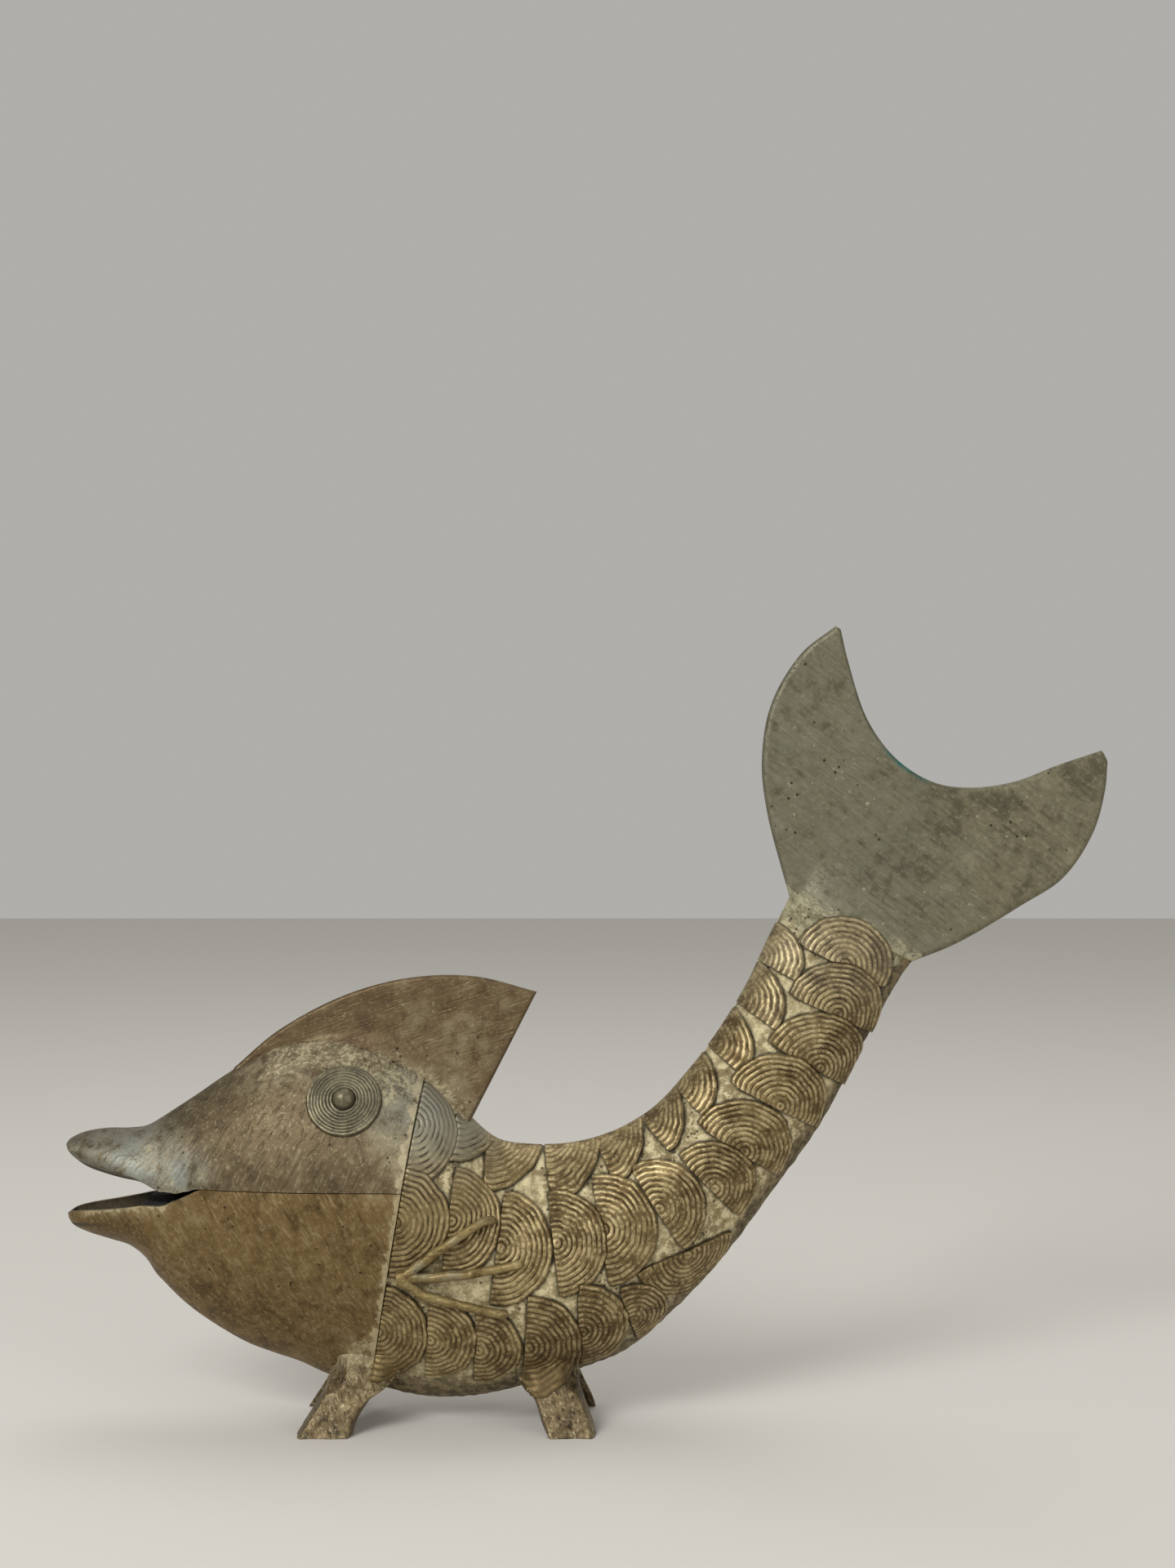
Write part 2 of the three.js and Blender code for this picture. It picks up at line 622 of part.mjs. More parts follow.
// Lays a row of scales that are broader than long by a stretch. They lie over the ridge from a given one on.
function layRow(row, stretch, ridgeFrom = Infinity) {
  let station = gill;
  let depthBefore = row[0].depth;
  return row.map((scale, i) => {
    station = nextStation(station, depthBefore, scale.pitch, scale.depth);
    depthBefore = scale.depth;
    return layScale({ station, turn: turnAt(station, scale.depth) }, { stretch, ...scale }, i >= ridgeFrom);
  });
}

const bellyScales = layRow(bellyRow, flankStretch);
const pressedOn = bellyScales.pop();
bellyScales.push(bellyScales.pop().add(pressedOn));
const flankScales = layRow(flankRow, flankStretch);
const backScales = layRow(backRow, backStretch, backRow.length - sharedBackScales);

// Eyes
function eye() {
  const place = placeAt(eyePlace);
  const { along } = skinAt(place.station, place.turn, 0);
  const dome = spread(0, Math.PI / 2, 3).slice(0, -1)
    .map((a) => [bossRadius * Math.sin(a), eyeRelief + bossHeight * Math.cos(a)]);
  const foot = [bossRadius, eyeRelief - threadDepth];
  const profile = [...dome, foot, ...coil(bossRadius, eyeRadius, eyeRelief)];
  return disc({ place, heading: along.clone().normalize(), inset: 0 }, profile, discRoot).subtract(headSkin);
}

// A leg is a plate with both edges folded inwards, and its top is cut to the skin above it
function leg(levels) {
  const rings = levels.map(({ height, ends: [front, rear], inset }) => [
    [front - flangeSplay, legFlange],
    [front, 0],
    [rear, 0],
    [rear + flangeSplay, legFlange],
    [rear + flangeSplay - legPlate, legFlange],
    [rear - legPlate, legPlate],
    [front + legPlate, legPlate],
    [front - flangeSplay + legPlate, legFlange],
  ].map(([x, inwards]) => new THREE.Vector3(x, inset + inwards - bodyWidth / 2, height)));
  return largest(loft(rings).subtract(wholeSkin));
}

// A pectoral fin lies on the scales
function pectoralFin() {
  const lift = scaleRelief + 2 * clearance + rodThickness / 2;
  const onSkin = (spot) => {
    const place = placeAt(spot);
    const { point: foot, normal } = skinAt(place.station, place.turn, scaleRelief);
    return foot.addScaledVector(normal, lift);
  };
  const circle = new THREE.Shape().absarc(0, 0, rodThickness / 2, 0, 2 * Math.PI);
  const start = onSkin(rodRoot);
  let fin = solid(new THREE.SphereGeometry(rodRootRadius, 7, 5).translate(start.x, start.y, start.z));
  for (const rod of rods) {
    const flat = smoothLine([rodRoot, ...rod], rodSteps).map((spot) => onSkin([spot.x, spot.z]));
    const path = new THREE.CatmullRomCurve3(flat);
    fin = fin.add(solid(new THREE.ExtrudeGeometry(circle, { steps: rodSteps, curveSegments: 3, extrudePath: path })));
  }
  return fin.subtract(wholeSkin);
}

// Finishes: patinated bronze, by colour and roughness
const finishes = {
  head: { color: 0x75644a, roughness: 0.55 },
  fin: { color: 0x6e6049, roughness: 0.6 },
  tail: { color: 0x73705f, roughness: 0.55 },
  scale: { color: 0x7d7050, roughness: 0.5 },
  bare: { color: 0x968c69, roughness: 0.75 },
  leg: { color: 0x6c6658, roughness: 0.5 },
};

const fish = new THREE.Group();

function addPiece(name, made, finish, mirrored = false) {
  const { vertProperties, triVerts } = made.getMesh();
  const geometry = new THREE.BufferGeometry();
  geometry.setAttribute('position', new THREE.BufferAttribute(new Float32Array(vertProperties), 3));
  const faces = [...triVerts];
  if (mirrored) {
    geometry.scale(1, -1, 1);
    faces.reverse();
  }
  geometry.setIndex(faces);
  geometry.computeVertexNormals();
  const mesh = new THREE.Mesh(geometry, new THREE.MeshStandardMaterial({ ...finishes[finish], metalness: 0.8 }));
  mesh.name = name;
  fish.add(mesh);
}

function addPair(name, made, finish) {
  addPiece(`${name}_left`, made, finish);
  addPiece(`${name}_right`, made, finish, true);
}

addPiece('head_upper', headUpper, 'head');
addPiece('head_lower', headLower, 'head');
addPiece('body_shell', bodyShell, 'bare');
addPiece('dorsal_fin', dorsal, 'fin');
addPiece('tail_fin', tail, 'tail');
addPair('leg_front', leg(frontLeg), 'leg');
addPair('leg_rear', leg(rearLeg), 'leg');
addPair('eye', eye(), 'scale');
addPair('pectoral_fin', pectoralFin(), 'fin');
flankScales.forEach((scale, i) => addPair(`flank_scale_${i + 1}`, scale, 'scale'));
backScales.forEach((scale, i) => {
  if (i < backScales.length - sharedBackScales) addPair(`back_scale_${i + 1}`, scale, 'scale');
  else addPiece(`back_scale_${i + 1}`, scale, 'scale');
});
bellyScales.forEach((scale, i) => addPair(`belly_scale_${i + 1}`, scale, 'scale'));

// The origin is the middle of the fish's footprint, on the surface that it stands on
const bounds = new THREE.Box3().setFromObject(fish);
fish.position.x = -(bounds.min.x + bounds.max.x) / 2;

export default fish;
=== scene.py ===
"""The looks of the cast bronze fish: coiled scales, patinated shells, fins and legs, in a pale studio."""

import math

import bmesh
import bpy
import numpy as np
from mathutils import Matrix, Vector


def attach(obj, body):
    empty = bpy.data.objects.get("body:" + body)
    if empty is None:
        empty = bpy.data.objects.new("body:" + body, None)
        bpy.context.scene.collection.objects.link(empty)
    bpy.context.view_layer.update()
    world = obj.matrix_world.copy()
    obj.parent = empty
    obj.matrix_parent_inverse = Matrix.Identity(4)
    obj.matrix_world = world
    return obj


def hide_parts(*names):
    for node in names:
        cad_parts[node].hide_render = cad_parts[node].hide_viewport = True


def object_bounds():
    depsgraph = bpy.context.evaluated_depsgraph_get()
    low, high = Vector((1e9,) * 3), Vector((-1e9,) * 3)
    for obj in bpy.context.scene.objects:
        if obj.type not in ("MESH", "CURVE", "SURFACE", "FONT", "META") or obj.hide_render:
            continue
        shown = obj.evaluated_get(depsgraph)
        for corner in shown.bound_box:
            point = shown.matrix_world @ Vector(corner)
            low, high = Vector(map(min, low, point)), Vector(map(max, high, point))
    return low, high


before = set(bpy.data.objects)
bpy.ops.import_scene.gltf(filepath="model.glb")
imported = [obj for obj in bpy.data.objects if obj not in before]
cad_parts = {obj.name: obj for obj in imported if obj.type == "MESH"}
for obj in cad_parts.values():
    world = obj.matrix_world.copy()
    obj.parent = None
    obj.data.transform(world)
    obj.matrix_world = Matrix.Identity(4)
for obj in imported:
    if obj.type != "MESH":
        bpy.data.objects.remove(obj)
cad_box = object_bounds()

MM = 0.001

# Gaps and thicknesses, in millimetres like every size below
clearance = 0.3
head_wall = 3.2
body_wall = 3
beak_wall = 2.4
scale_relief = 1.6
body_width = 56
ridge_sharpness = 1.5
seam_height = 87.5

# Stations from the mouth to the tail root: a point on the back, one on the belly, and the width as a share
stations = [
    ((-154.5, 111), (-157, 53), 0.53),
    ((-143, 118.5), (-147, 43), 0.65),
    ((-130.5, 127), (-136, 35), 0.77),
    ((-115.5, 135.5), (-121.5, 27), 0.88),
    ((-98, 139.5), (-106.5, 22), 0.96),
    ((-80, 137.5), (-93, 16), 0.99),
    ((-59, 127.5), (-79, 11.5), 1),
    ((-44, 112.5), (-59, 7), 1),
    ((-33, 103.5), (-39.5, 7.5), 0.98),
    ((-19, 101.3), (-22, 11.5), 0.96),
    ((-2.5, 102.5), (-3, 17), 0.92),
    ((11.5, 107), (14, 24), 0.87),
    ((24.5, 115), (31, 38), 0.8),
    ((37.5, 129), (50, 58), 0.71),
    ((48.5, 144), (68, 82), 0.62),
    ((58, 160), (86, 107), 0.53),
    ((66, 177.5), (102, 136.5), 0.43),
    ((72.5, 191), (120, 166.5), 0.3),
    ((76, 200), (130, 174), 0.24),
]
last = len(stations) - 1
gill = 6
tail_root = 17
body_waist = 0.5

# The beak from its tip to the head: upper edge, lower edge and width
upper_beak = [
    ((-190, 101.2), (-190, 99.9), 2.5),
    ((-188.8, 102.6), (-187.8, 96.9), 11),
    ((-184, 105), (-182.5, 92.7), 17.5),
    ((-176, 106.5), (-175.5, 90.1), 24),
    ((-166.5, 106.7), (-167, 88.2), 30),
    ((-160.5, 107.6), (-161, 87.8), 32),
]
lower_beak = [
    ((-189.4, 75.8), (-189.2, 73.4), 2.5),
    ((-187.4, 76.9), (-187.2, 71), 12),
    ((-182, 77.9), (-182, 68.5), 19),
    ((-174, 78.8), (-174, 66), 25),
    ((-166.5, 79.8), (-166.5, 63.5), 30),
    ((-160.5, 80.8), (-161, 59), 32),
]
trough_depth = 5.5

# The lips behind the beak: a place along the fish and how far below the seam the lip hangs there
upper_lip = [(-161, 0), (-156, 0.4), (-148, 1.9), (-142, 0.6), (-138, 0)]
lower_lip = [(-161, 6.6), (-152.5, 6.4), (-147.5, 4.4), (-142, 1.6), (-138, 0)]
lip_widening = [(-160, 1.12), (-154, 1.1), (-142, 1)]

# The throat: a place along the fish, its top and bottom from the seam, and its half width
throat = [(-177, 3.5, -3.5, 9), (-163, 5, -7, 13), (-152, 7, -9.5, 14)]

# Dorsal fin and tail fin
dorsal_crest = [(-129, 128.5), (-113, 142), (-89, 154.8), (-65, 161.3), (-41, 161.8), (-18.5, 156.2)]
dorsal_front = 2.1
dorsal_rear = 7.05
dorsal_plate = 3
dorsal_root = 11
dorsal_flare = 0.4
tail_upper_edge = [(90.5, 289.6), (78, 279.6), (67, 261), (63.6, 240), (65.5, 222), (70, 204)]
tail_lower_edge = [(134.7, 173.8), (158.6, 187.8), (173.5, 197.6), (184.5, 214), (189, 230), (189.8, 239.5)]
tail_bay = [(92.5, 288.2), (95.4, 276), (102.5, 255), (113, 241), (126, 232.8), (139, 230.7), (155.6, 232.8),
            (172, 239), (187.6, 244.2)]
tail_plate = 4
tail_flare = 26

# Eyes
eye_place = (-86.8, 119.3)
eye_radius = 13.6
eye_relief = 1.5
eye_threads = 7
eye_rim = 1.5
boss_radius = 4
boss_height = 4.2

# Pectoral fins
rod_thickness = 2.8
rod_root = (-66, 57.5)
rods = [
    [(-51.6, 68.2), (-40.1, 75.9), (-32.9, 77.7)],
    [(-51.6, 58.7), (-34.3, 60.7), (-22.6, 62.7)],
    [(-57.3, 52.1), (-45.8, 48.9), (-28, 44.9)],
]

# Legs: height, the two ends of the web, and how far in from the cheeks it stands
leg_plate = 2.6
leg_flange = 8
flange_splay = 1.5
front_leg = [
    (0, (-102.5, -85), 3.5),
    (5, (-99.5, -83.5), 5.5),
    (12, (-95, -78.5), 8),
    (16, (-93, -72.5), 9.5),
    (20, (-92, -69), 11),
    (30, (-91.5, -68), 15),
]
rear_leg = [
    (0, (-13.5, 2), 3.5),
    (5, (-15.5, 0.5), 6),
    (12, (-18.5, -2.5), 9.5),
    (16, (-23, -4), 11.5),
    (22, (-26, -4.5), 15),
    (30, (-27, -6), 18),
]

# Rows of scales from head to tail: pitch, depth below the back, radius, heading in degrees, and stretch
back_stretch = 1.3
flank_stretch = 1.06
back_row = [
    (0, 0.141, 16.9, -12, back_stretch),
    (16.2, 0, 16.8, -20, 1.65),
    (13.7, 0, 20.2, 0, back_stretch),
    (21.9, 0, 19.4, 8, back_stretch),
    (18.8, 0, 17.3, 26, back_stretch),
    (18.1, 0, 16.4, 46, back_stretch),
    (17.2, 0, 15.2, 46, back_stretch),
    (19.3, 0, 15.5, 50, back_stretch),
    (18.7, 0, 15.7, 55, back_stretch),
    (17, 0, 13.9, 61, back_stretch),
]
flank_row = [
    (0, 0.436, 19, -7, flank_stretch),
    (19.7, 0.325, 18.1, -6, flank_stretch),
    (19.8, 0.364, 18.1, -7, 1.12),
    (20, 0.366, 17.9, 7, flank_stretch),
    (17.2, 0.36, 19.1, 9, flank_stretch),
    (21, 0.42, 16.8, 33, flank_stretch),
    (20.6, 0.591, 16.3, 44, flank_stretch),
    (16.8, 0.608, 18.4, 57, flank_stretch),
    (20.5, 0.632, 18.4, 62, flank_stretch),
    (19.7, 0.748, 20, 60, flank_stretch),
    (20.8, 0.685, 18.2, 65, flank_stretch),
    (18.1, 0.567, 17.4, 63, flank_stretch),
]
belly_row = [
    (0, 0.794, 18.1, -7, flank_stretch),
    (19.1, 0.751, 16.6, -4, flank_stretch),
    (17.4, 0.765, 15.6, -3, flank_stretch),
    (17.7, 0.785, 19.3, -4, flank_stretch),
    (19.8, 0.776, 17.5, 0, flank_stretch),
    (18.6, 0.828, 14, 18, flank_stretch),
    (30.3, 0.748, 18.1, -70, flank_stretch),
]
shared_back_scales = 9
over_legs = (0, 3)
edge_setback = 1.3
thread_pitch = 1.85
thread_depth = 0.75
neighbour_reach = 60

# How finely the pieces are made: points round and along them, and a scale's rays to its arc and its edge
head_sides = 160
head_rings = 230
skin_rows = 320
inner_skin_rows = 40
skin_columns = 260
leg_sides = 160
eye_sides = 144
rod_sides = 24
arc_rays = 73
edge_rays = 41
rings_per_thread = 6

# The frame's origin is the middle of the fish's length
shift = cad_box[0][0] / MM - upper_beak[0][0][0]


# Lines and skin
class Line:
    """A smooth line through points, for a parameter from 0 to 1"""

    def __init__(self, points):
        points = np.array(points, float)
        self.points = np.vstack([2 * points[0] - points[1], points, 2 * points[-1] - points[-2]])
        self.spans = np.maximum(np.linalg.norm(np.diff(self.points, axis=0), axis=1) ** 0.5, 0.01)
        self.count = len(points)

    def at(self, share):
        """The line's points at shares of it from 0 to 1"""
        place = (self.count - 1) * np.asarray(share, float)
        i = np.clip(np.floor(place).astype(int), 0, self.count - 2)
        w = (place - i)[..., None]
        before, a, b, after = (self.points[i + k] for k in range(4))
        d0, d1, d2 = (self.spans[i + k][..., None] for k in range(3))
        leave = ((a - before) / d0 - (b - before) / (d0 + d1) + (b - a) / d1) * d1
        arrive = ((b - a) / d1 - (after - a) / (d1 + d2) + (after - b) / d2) * d1
        square = -3 * a + 3 * b - 2 * leave - arrive
        cube = 2 * a - 2 * b + leave + arrive
        return a + w * (leave + w * (square + w * cube))

    def spaced(self, count):
        """Points at equal distances along the line"""
        fine = self.at(np.linspace(0, 1, 40 * count))
        travelled = np.concatenate([[0], np.cumsum(np.linalg.norm(np.diff(fine, axis=0), axis=1))])
        wanted = np.linspace(0, travelled[-1], count + 1)
        return np.stack([np.interp(wanted, travelled, fine[:, k]) for k in range(fine.shape[1])], -1)


back_line = Line([s[0] for s in stations])
belly_line = Line([s[1] for s in stations])
swell_line = Line([(i, s[2]) for i, s in enumerate(stations)])


def smoothstep(value, low, high):
    """0 below low, 1 above high, and smooth between them"""
    share = np.clip((value - low) / (high - low), 0, 1)
    return share * share * (3 - 2 * share)


def waist_share(station):
    """Depth of the widest line below the back, as a share of the section's depth"""
    early = np.minimum(station, gill)
    back = back_line.at(early / last)[..., 1]
    belly = belly_line.at(early / last)[..., 1]
    on_seam = (back - seam_height) / (back - belly)
    return on_seam + (body_waist - on_seam) * smoothstep(station, gill, gill + 3)


def section(station, inset=0.0):
    """A section's highest, widest and lowest points in the middle plane, and half its width"""
    station = np.asarray(station, float)
    high = back_line.at(station / last)
    low = belly_line.at(station / last)
    waist = high + (low - high) * waist_share(station)[..., None]
    down = low - high
    down = down / np.linalg.norm(down, axis=-1, keepdims=True)
    half = swell_line.at(station / last)[..., 1] * body_width / 2 - inset
    return high + down * inset, waist, low - down * inset, half


def on_section(high, waist, low, half, turn):
    """Points of a section: turn runs from 0 on the back over the left side to pi on the belly"""
    side = np.sin(turn)
    rise = np.sqrt(np.maximum(0, 1 - np.abs(side) ** (2 / ridge_sharpness)))
    end = np.where((np.cos(turn) > 0)[..., None], high, low)
    flat = waist + (end - waist) * rise[..., None]
    return np.stack([flat[..., 0], -half * side, flat[..., 1]], -1)


def on_skin(station, turn, inset=0.0):
    """Points of the body's skin"""
    return on_section(*section(station, inset), np.asarray(turn, float))


def turn_at(station, depth):
    """The turn at a depth below the back, given as a share"""
    waist = waist_share(np.asarray(station, float))
    above = depth < waist
    rise = np.where(above, 1 - depth / waist, np.minimum(1, (depth - waist) / (1 - waist)))
    turn = np.arcsin((1 - rise ** 2) ** (ridge_sharpness / 2))
    return np.where(above, turn, np.pi - turn)


def skin_frame(station, turn, inset=0.0):
    """The skin's points, their two directions and their normals"""
    nudge = 0.01
    along = (on_skin(station + nudge, turn, inset) - on_skin(station - nudge, turn, inset)) / (2 * nudge)
    around = (on_skin(station, turn + nudge, inset) - on_skin(station, turn - nudge, inset)) / (2 * nudge)
    normal = np.cross(around, along)
    normal = normal / np.linalg.norm(normal, axis=-1, keepdims=True)
    return on_skin(station, turn, inset), along, around, normal


def walk(station, turn, ways, lengths, distances, inset=0.0):
    """Walks straight ahead over the skin, one walk for each way, each stretched by its length.
    Gives the stations and turns at the distances."""
    stations_now = np.full(len(ways), float(station))
    turns_now = np.full(len(ways), float(turn))
    ways = ways.copy()
    passed = []
    travelled = 0.0
    for goal in distances:
        step = goal - travelled
        if step > 0:
            _, along, around, normal = skin_frame(stations_now, turns_now, inset)
            ways = ways - normal * np.sum(ways * normal, -1, keepdims=True)
            ways = ways / np.linalg.norm(ways, axis=-1, keepdims=True)
            aa = np.sum(along * along, -1)
            ab = np.sum(along * around, -1)
            bb = np.sum(around * around, -1)
            p = np.sum(ways * along, -1) * step * lengths
            q = np.sum(ways * around, -1) * step * lengths
            area = aa * bb - ab * ab
            stations_now = stations_now + (p * bb - q * ab) / area
            turns_now = turns_now + (q * aa - p * ab) / area
            travelled = goal
        passed.append((stations_now.copy(), turns_now.copy()))
    return np.array([s for s, _ in passed]), np.array([t for _, t in passed])


def place_at(spot):
    """The station and turn on the left flank that are seen from the side at x, z"""
    fine = np.linspace(0, last - 1, 3000)
    high, _, low, _ = section(fine)
    across = low - high
    away = np.array(spot) - high
    side = across[:, 0] * away[:, 1] - across[:, 1] * away[:, 0]
    i = int(np.nonzero(np.sign(side[:-1]) != np.sign(side[1:]))[0][0])
    share = side[i] / (side[i] - side[i + 1])
    station = fine[i] + share * (fine[i + 1] - fine[i])
    high, _, low, _ = section(station)
    depth = np.linalg.norm(np.array(spot) - high) / np.linalg.norm(low - high)
    return float(station), float(turn_at(station, depth))


def ripple(points, size, seed):
    """Smooth noise from about -1 to 1 at points, with features of about that size"""
    waves = 10
    random = np.random.default_rng(seed)
    ways = random.normal(size=(waves, 3))
    ways *= 2 * np.pi / (size * 1.6)
    return np.sin(points @ ways.T + random.uniform(0, 2 * np.pi, waves)).mean(-1) * 2


def soft_rise(value, radius):
    """0 below -radius, the value itself above radius, and smooth between them"""
    middle = (value + radius) ** 2 / (4 * radius)
    return np.where(value > radius, value, np.where(value < -radius, 0, middle))


def leg_at(levels, x, z):
    """At places in the side view: how far out a leg's web stands, 1 where they lie on the leg,
    and how far the leg has come out of the body, from 0 to 1"""
    heights = [level[0] for level in levels]
    web = body_width / 2 - np.interp(z, heights, [level[2] for level in levels])
    front = np.interp(z, heights, [level[1][0] for level in levels])
    rear = np.interp(z, heights, [level[1][1] for level in levels])
    on_leg = smoothstep(x, front - 0.5, front + 0.5) * (1 - smoothstep(x, rear - 0.5, rear + 0.5))
    from_end = np.minimum(x - front, rear - x)
    out = 1 - (1 - smoothstep(from_end, 0, 6)) * smoothstep(z, 14, 23)
    return web, on_leg, out * (1 - smoothstep(z, 20, 30))


def flank_at(x, z, inset):
    """At places in the side view: how far out the body's skin stands, the station, and the depth down it"""
    low_end, high_end = np.zeros_like(x), np.full_like(x, last - 1)
    for _ in range(30):
        middle = (low_end + high_end) / 2
        high, _, low, _ = section(middle)
        turned = (z - high[..., 1]) * (low - high)[..., 0] - (x - high[..., 0]) * (low - high)[..., 1]
        low_end = np.where(turned > 0, middle, low_end)
        high_end = np.where(turned > 0, high_end, middle)
    high, waist, low, half = section(low_end, inset)
    depth = np.sum((np.stack([x, z], -1) - high) * (low - high), -1) / np.sum((low - high) ** 2, -1)
    widest = np.linalg.norm(waist - high, axis=-1) / np.linalg.norm(low - high, axis=-1)
    rise = np.where(depth < widest, 1 - depth / widest, (depth - widest) / (1 - widest))
    return half * np.maximum(0, 1 - np.minimum(1, rise) ** 2) ** (ridge_sharpness / 2), low_end, depth


def seen_from_side(x, z, inset):
    """The left flank's points at places in the side view, drawn out over the legs' roots,
    and whether the fish is there"""
    side, _, depth = flank_at(x, z, inset)
    there = depth < 0.985
    for levels in (front_leg, rear_leg):
        web, on_leg, out = leg_at(levels, x, z)
        side = side + on_leg * out * soft_rise(web + 0.4 - side, 3)
        there = there | (on_leg * out > 0.3)
    return np.stack([x, -side, z], -1), there


# Meshes
def piece(name, points, faces, slot, replaced, attributes=None, sharp=50, finish=None):
    """A piece of the fish from points in millimetres and lists of corners"""
    mesh = bpy.data.meshes.new(name)
    placed = (np.asarray(points, float) + (shift, 0, 0)) * MM
    mesh.from_pydata(placed.tolist(), [], [tuple(int(i) for i in face) for face in faces])
    for key, values in (attributes or {}).items():
        layer = mesh.attributes.new(key, "FLOAT", "POINT")
        layer.data.foreach_set("value", np.asarray(values, np.float32))
    edit = bmesh.new()
    edit.from_mesh(mesh)
    bmesh.ops.recalc_face_normals(edit, faces=edit.faces)
    edit.to_mesh(mesh)
    edit.free()
    made = bpy.data.objects.new(name, mesh)
    bpy.context.scene.collection.objects.link(made)
    mesh.polygons.foreach_set("use_smooth", [True] * len(mesh.polygons))
    mesh.set_sharp_from_angle(angle=math.radians(sharp))
    mesh.materials.append(finish or finish_of[slot])
    if replaced:
        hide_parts(replaced)
    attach(made, "root")
    return made


def pair(name, points, faces, slot, replaced, **options):
    """A left piece and its mirror image"""
    piece(f"{name}_left", points, faces, slot, replaced and f"{replaced}_left", **options)
    piece(f"{name}_right", np.asarray(points) * (1, -1, 1), faces, slot, replaced and f"{replaced}_right",
          **options)


def grid_faces(rows, columns, closed):
    """Quads of a grid of rows by columns, whose last column meets the first where it is closed"""
    across = columns if closed else columns - 1
    row, column = np.meshgrid(np.arange(rows - 1), np.arange(across), indexing="ij")
    here, there = row * columns, (row + 1) * columns
    after = (column + 1) % columns
    return np.stack([here + column, here + after, there + after, there + column], -1).reshape(-1, 4)


def tube(rings):
    """Points and faces of a closed solid through rings of as many points each"""
    rings = np.asarray(rings)
    count, sides = rings.shape[:2]
    faces = grid_faces(count, sides, True).tolist()
    faces.append(list(range(sides)))
    faces.append(list(range((count - 1) * sides, count * sides)))
    return rings.reshape(-1, 3), faces


def cut(made, tools):
    """Cuts solids out of a piece, and leaves no modifier on it"""
    for tool in tools:
        cutter = made.modifiers.new("cut", "BOOLEAN")
        cutter.operation = "DIFFERENCE"
        cutter.solver = "MANIFOLD"
        cutter.object = tool
    bpy.context.view_layer.update()
    carved = bpy.data.meshes.new_from_object(made.evaluated_get(bpy.context.evaluated_depsgraph_get()))
    made.modifiers.clear()
    made.data = carved


def scratch_solid(name, rings):
    """A solid that only cuts others"""
    points, faces = tube(rings)
    mesh = bpy.data.meshes.new(name)
    mesh.from_pydata(((points + (shift, 0, 0)) * MM).tolist(), [], faces)
    edit = bmesh.new()
    edit.from_mesh(mesh)
    bmesh.ops.triangulate(edit, faces=[f for f in edit.faces if len(f.verts) > 4])
    bmesh.ops.recalc_face_normals(edit, faces=edit.faces)
    edit.to_mesh(mesh)
    edit.free()
    made = bpy.data.objects.new(name, mesh)
    bpy.context.scene.collection.objects.link(made)
    return made


# Finishes
def linear(code):
    """A colour from its six hex digits"""
    parts = [int(code[i:i + 2], 16) / 255 for i in (0, 2, 4)]
    return tuple(c / 12.92 if c <= 0.04045 else ((c + 0.055) / 1.055) ** 2.4 for c in parts) + (1,)


class Value:
    """A shader socket that takes part in Python arithmetic"""

    def __init__(self, shader, socket):
        self.shader = shader
        self.socket = socket

    def math(self, operation, *others):
        """What a Math node makes of sockets and numbers"""
        node = self.shader.tree.nodes.new("ShaderNodeMath")
        node.operation = operation
        for socket, value in zip(node.inputs, others):
            self.shader.feed(socket, value)
        return Value(self.shader, node.outputs[0])

    def __add__(self, other):
        return self.math("ADD", self, other)

    def __radd__(self, other):
        return self.math("ADD", other, self)

    def __sub__(self, other):
        return self.math("SUBTRACT", self, other)

    def __rsub__(self, other):
        return self.math("SUBTRACT", other, self)

    def __mul__(self, other):
        return self.math("MULTIPLY", self, other)

    def __rmul__(self, other):
        return self.math("MULTIPLY", other, self)

    def between(self, low, high):
        """0 below low, 1 above high, and smooth between them"""
        node = self.shader.node("ShaderNodeMapRange", {"interpolation_type": "SMOOTHSTEP"},
                                {"Value": self, "From Min": low, "From Max": high})
        return node["Result"]


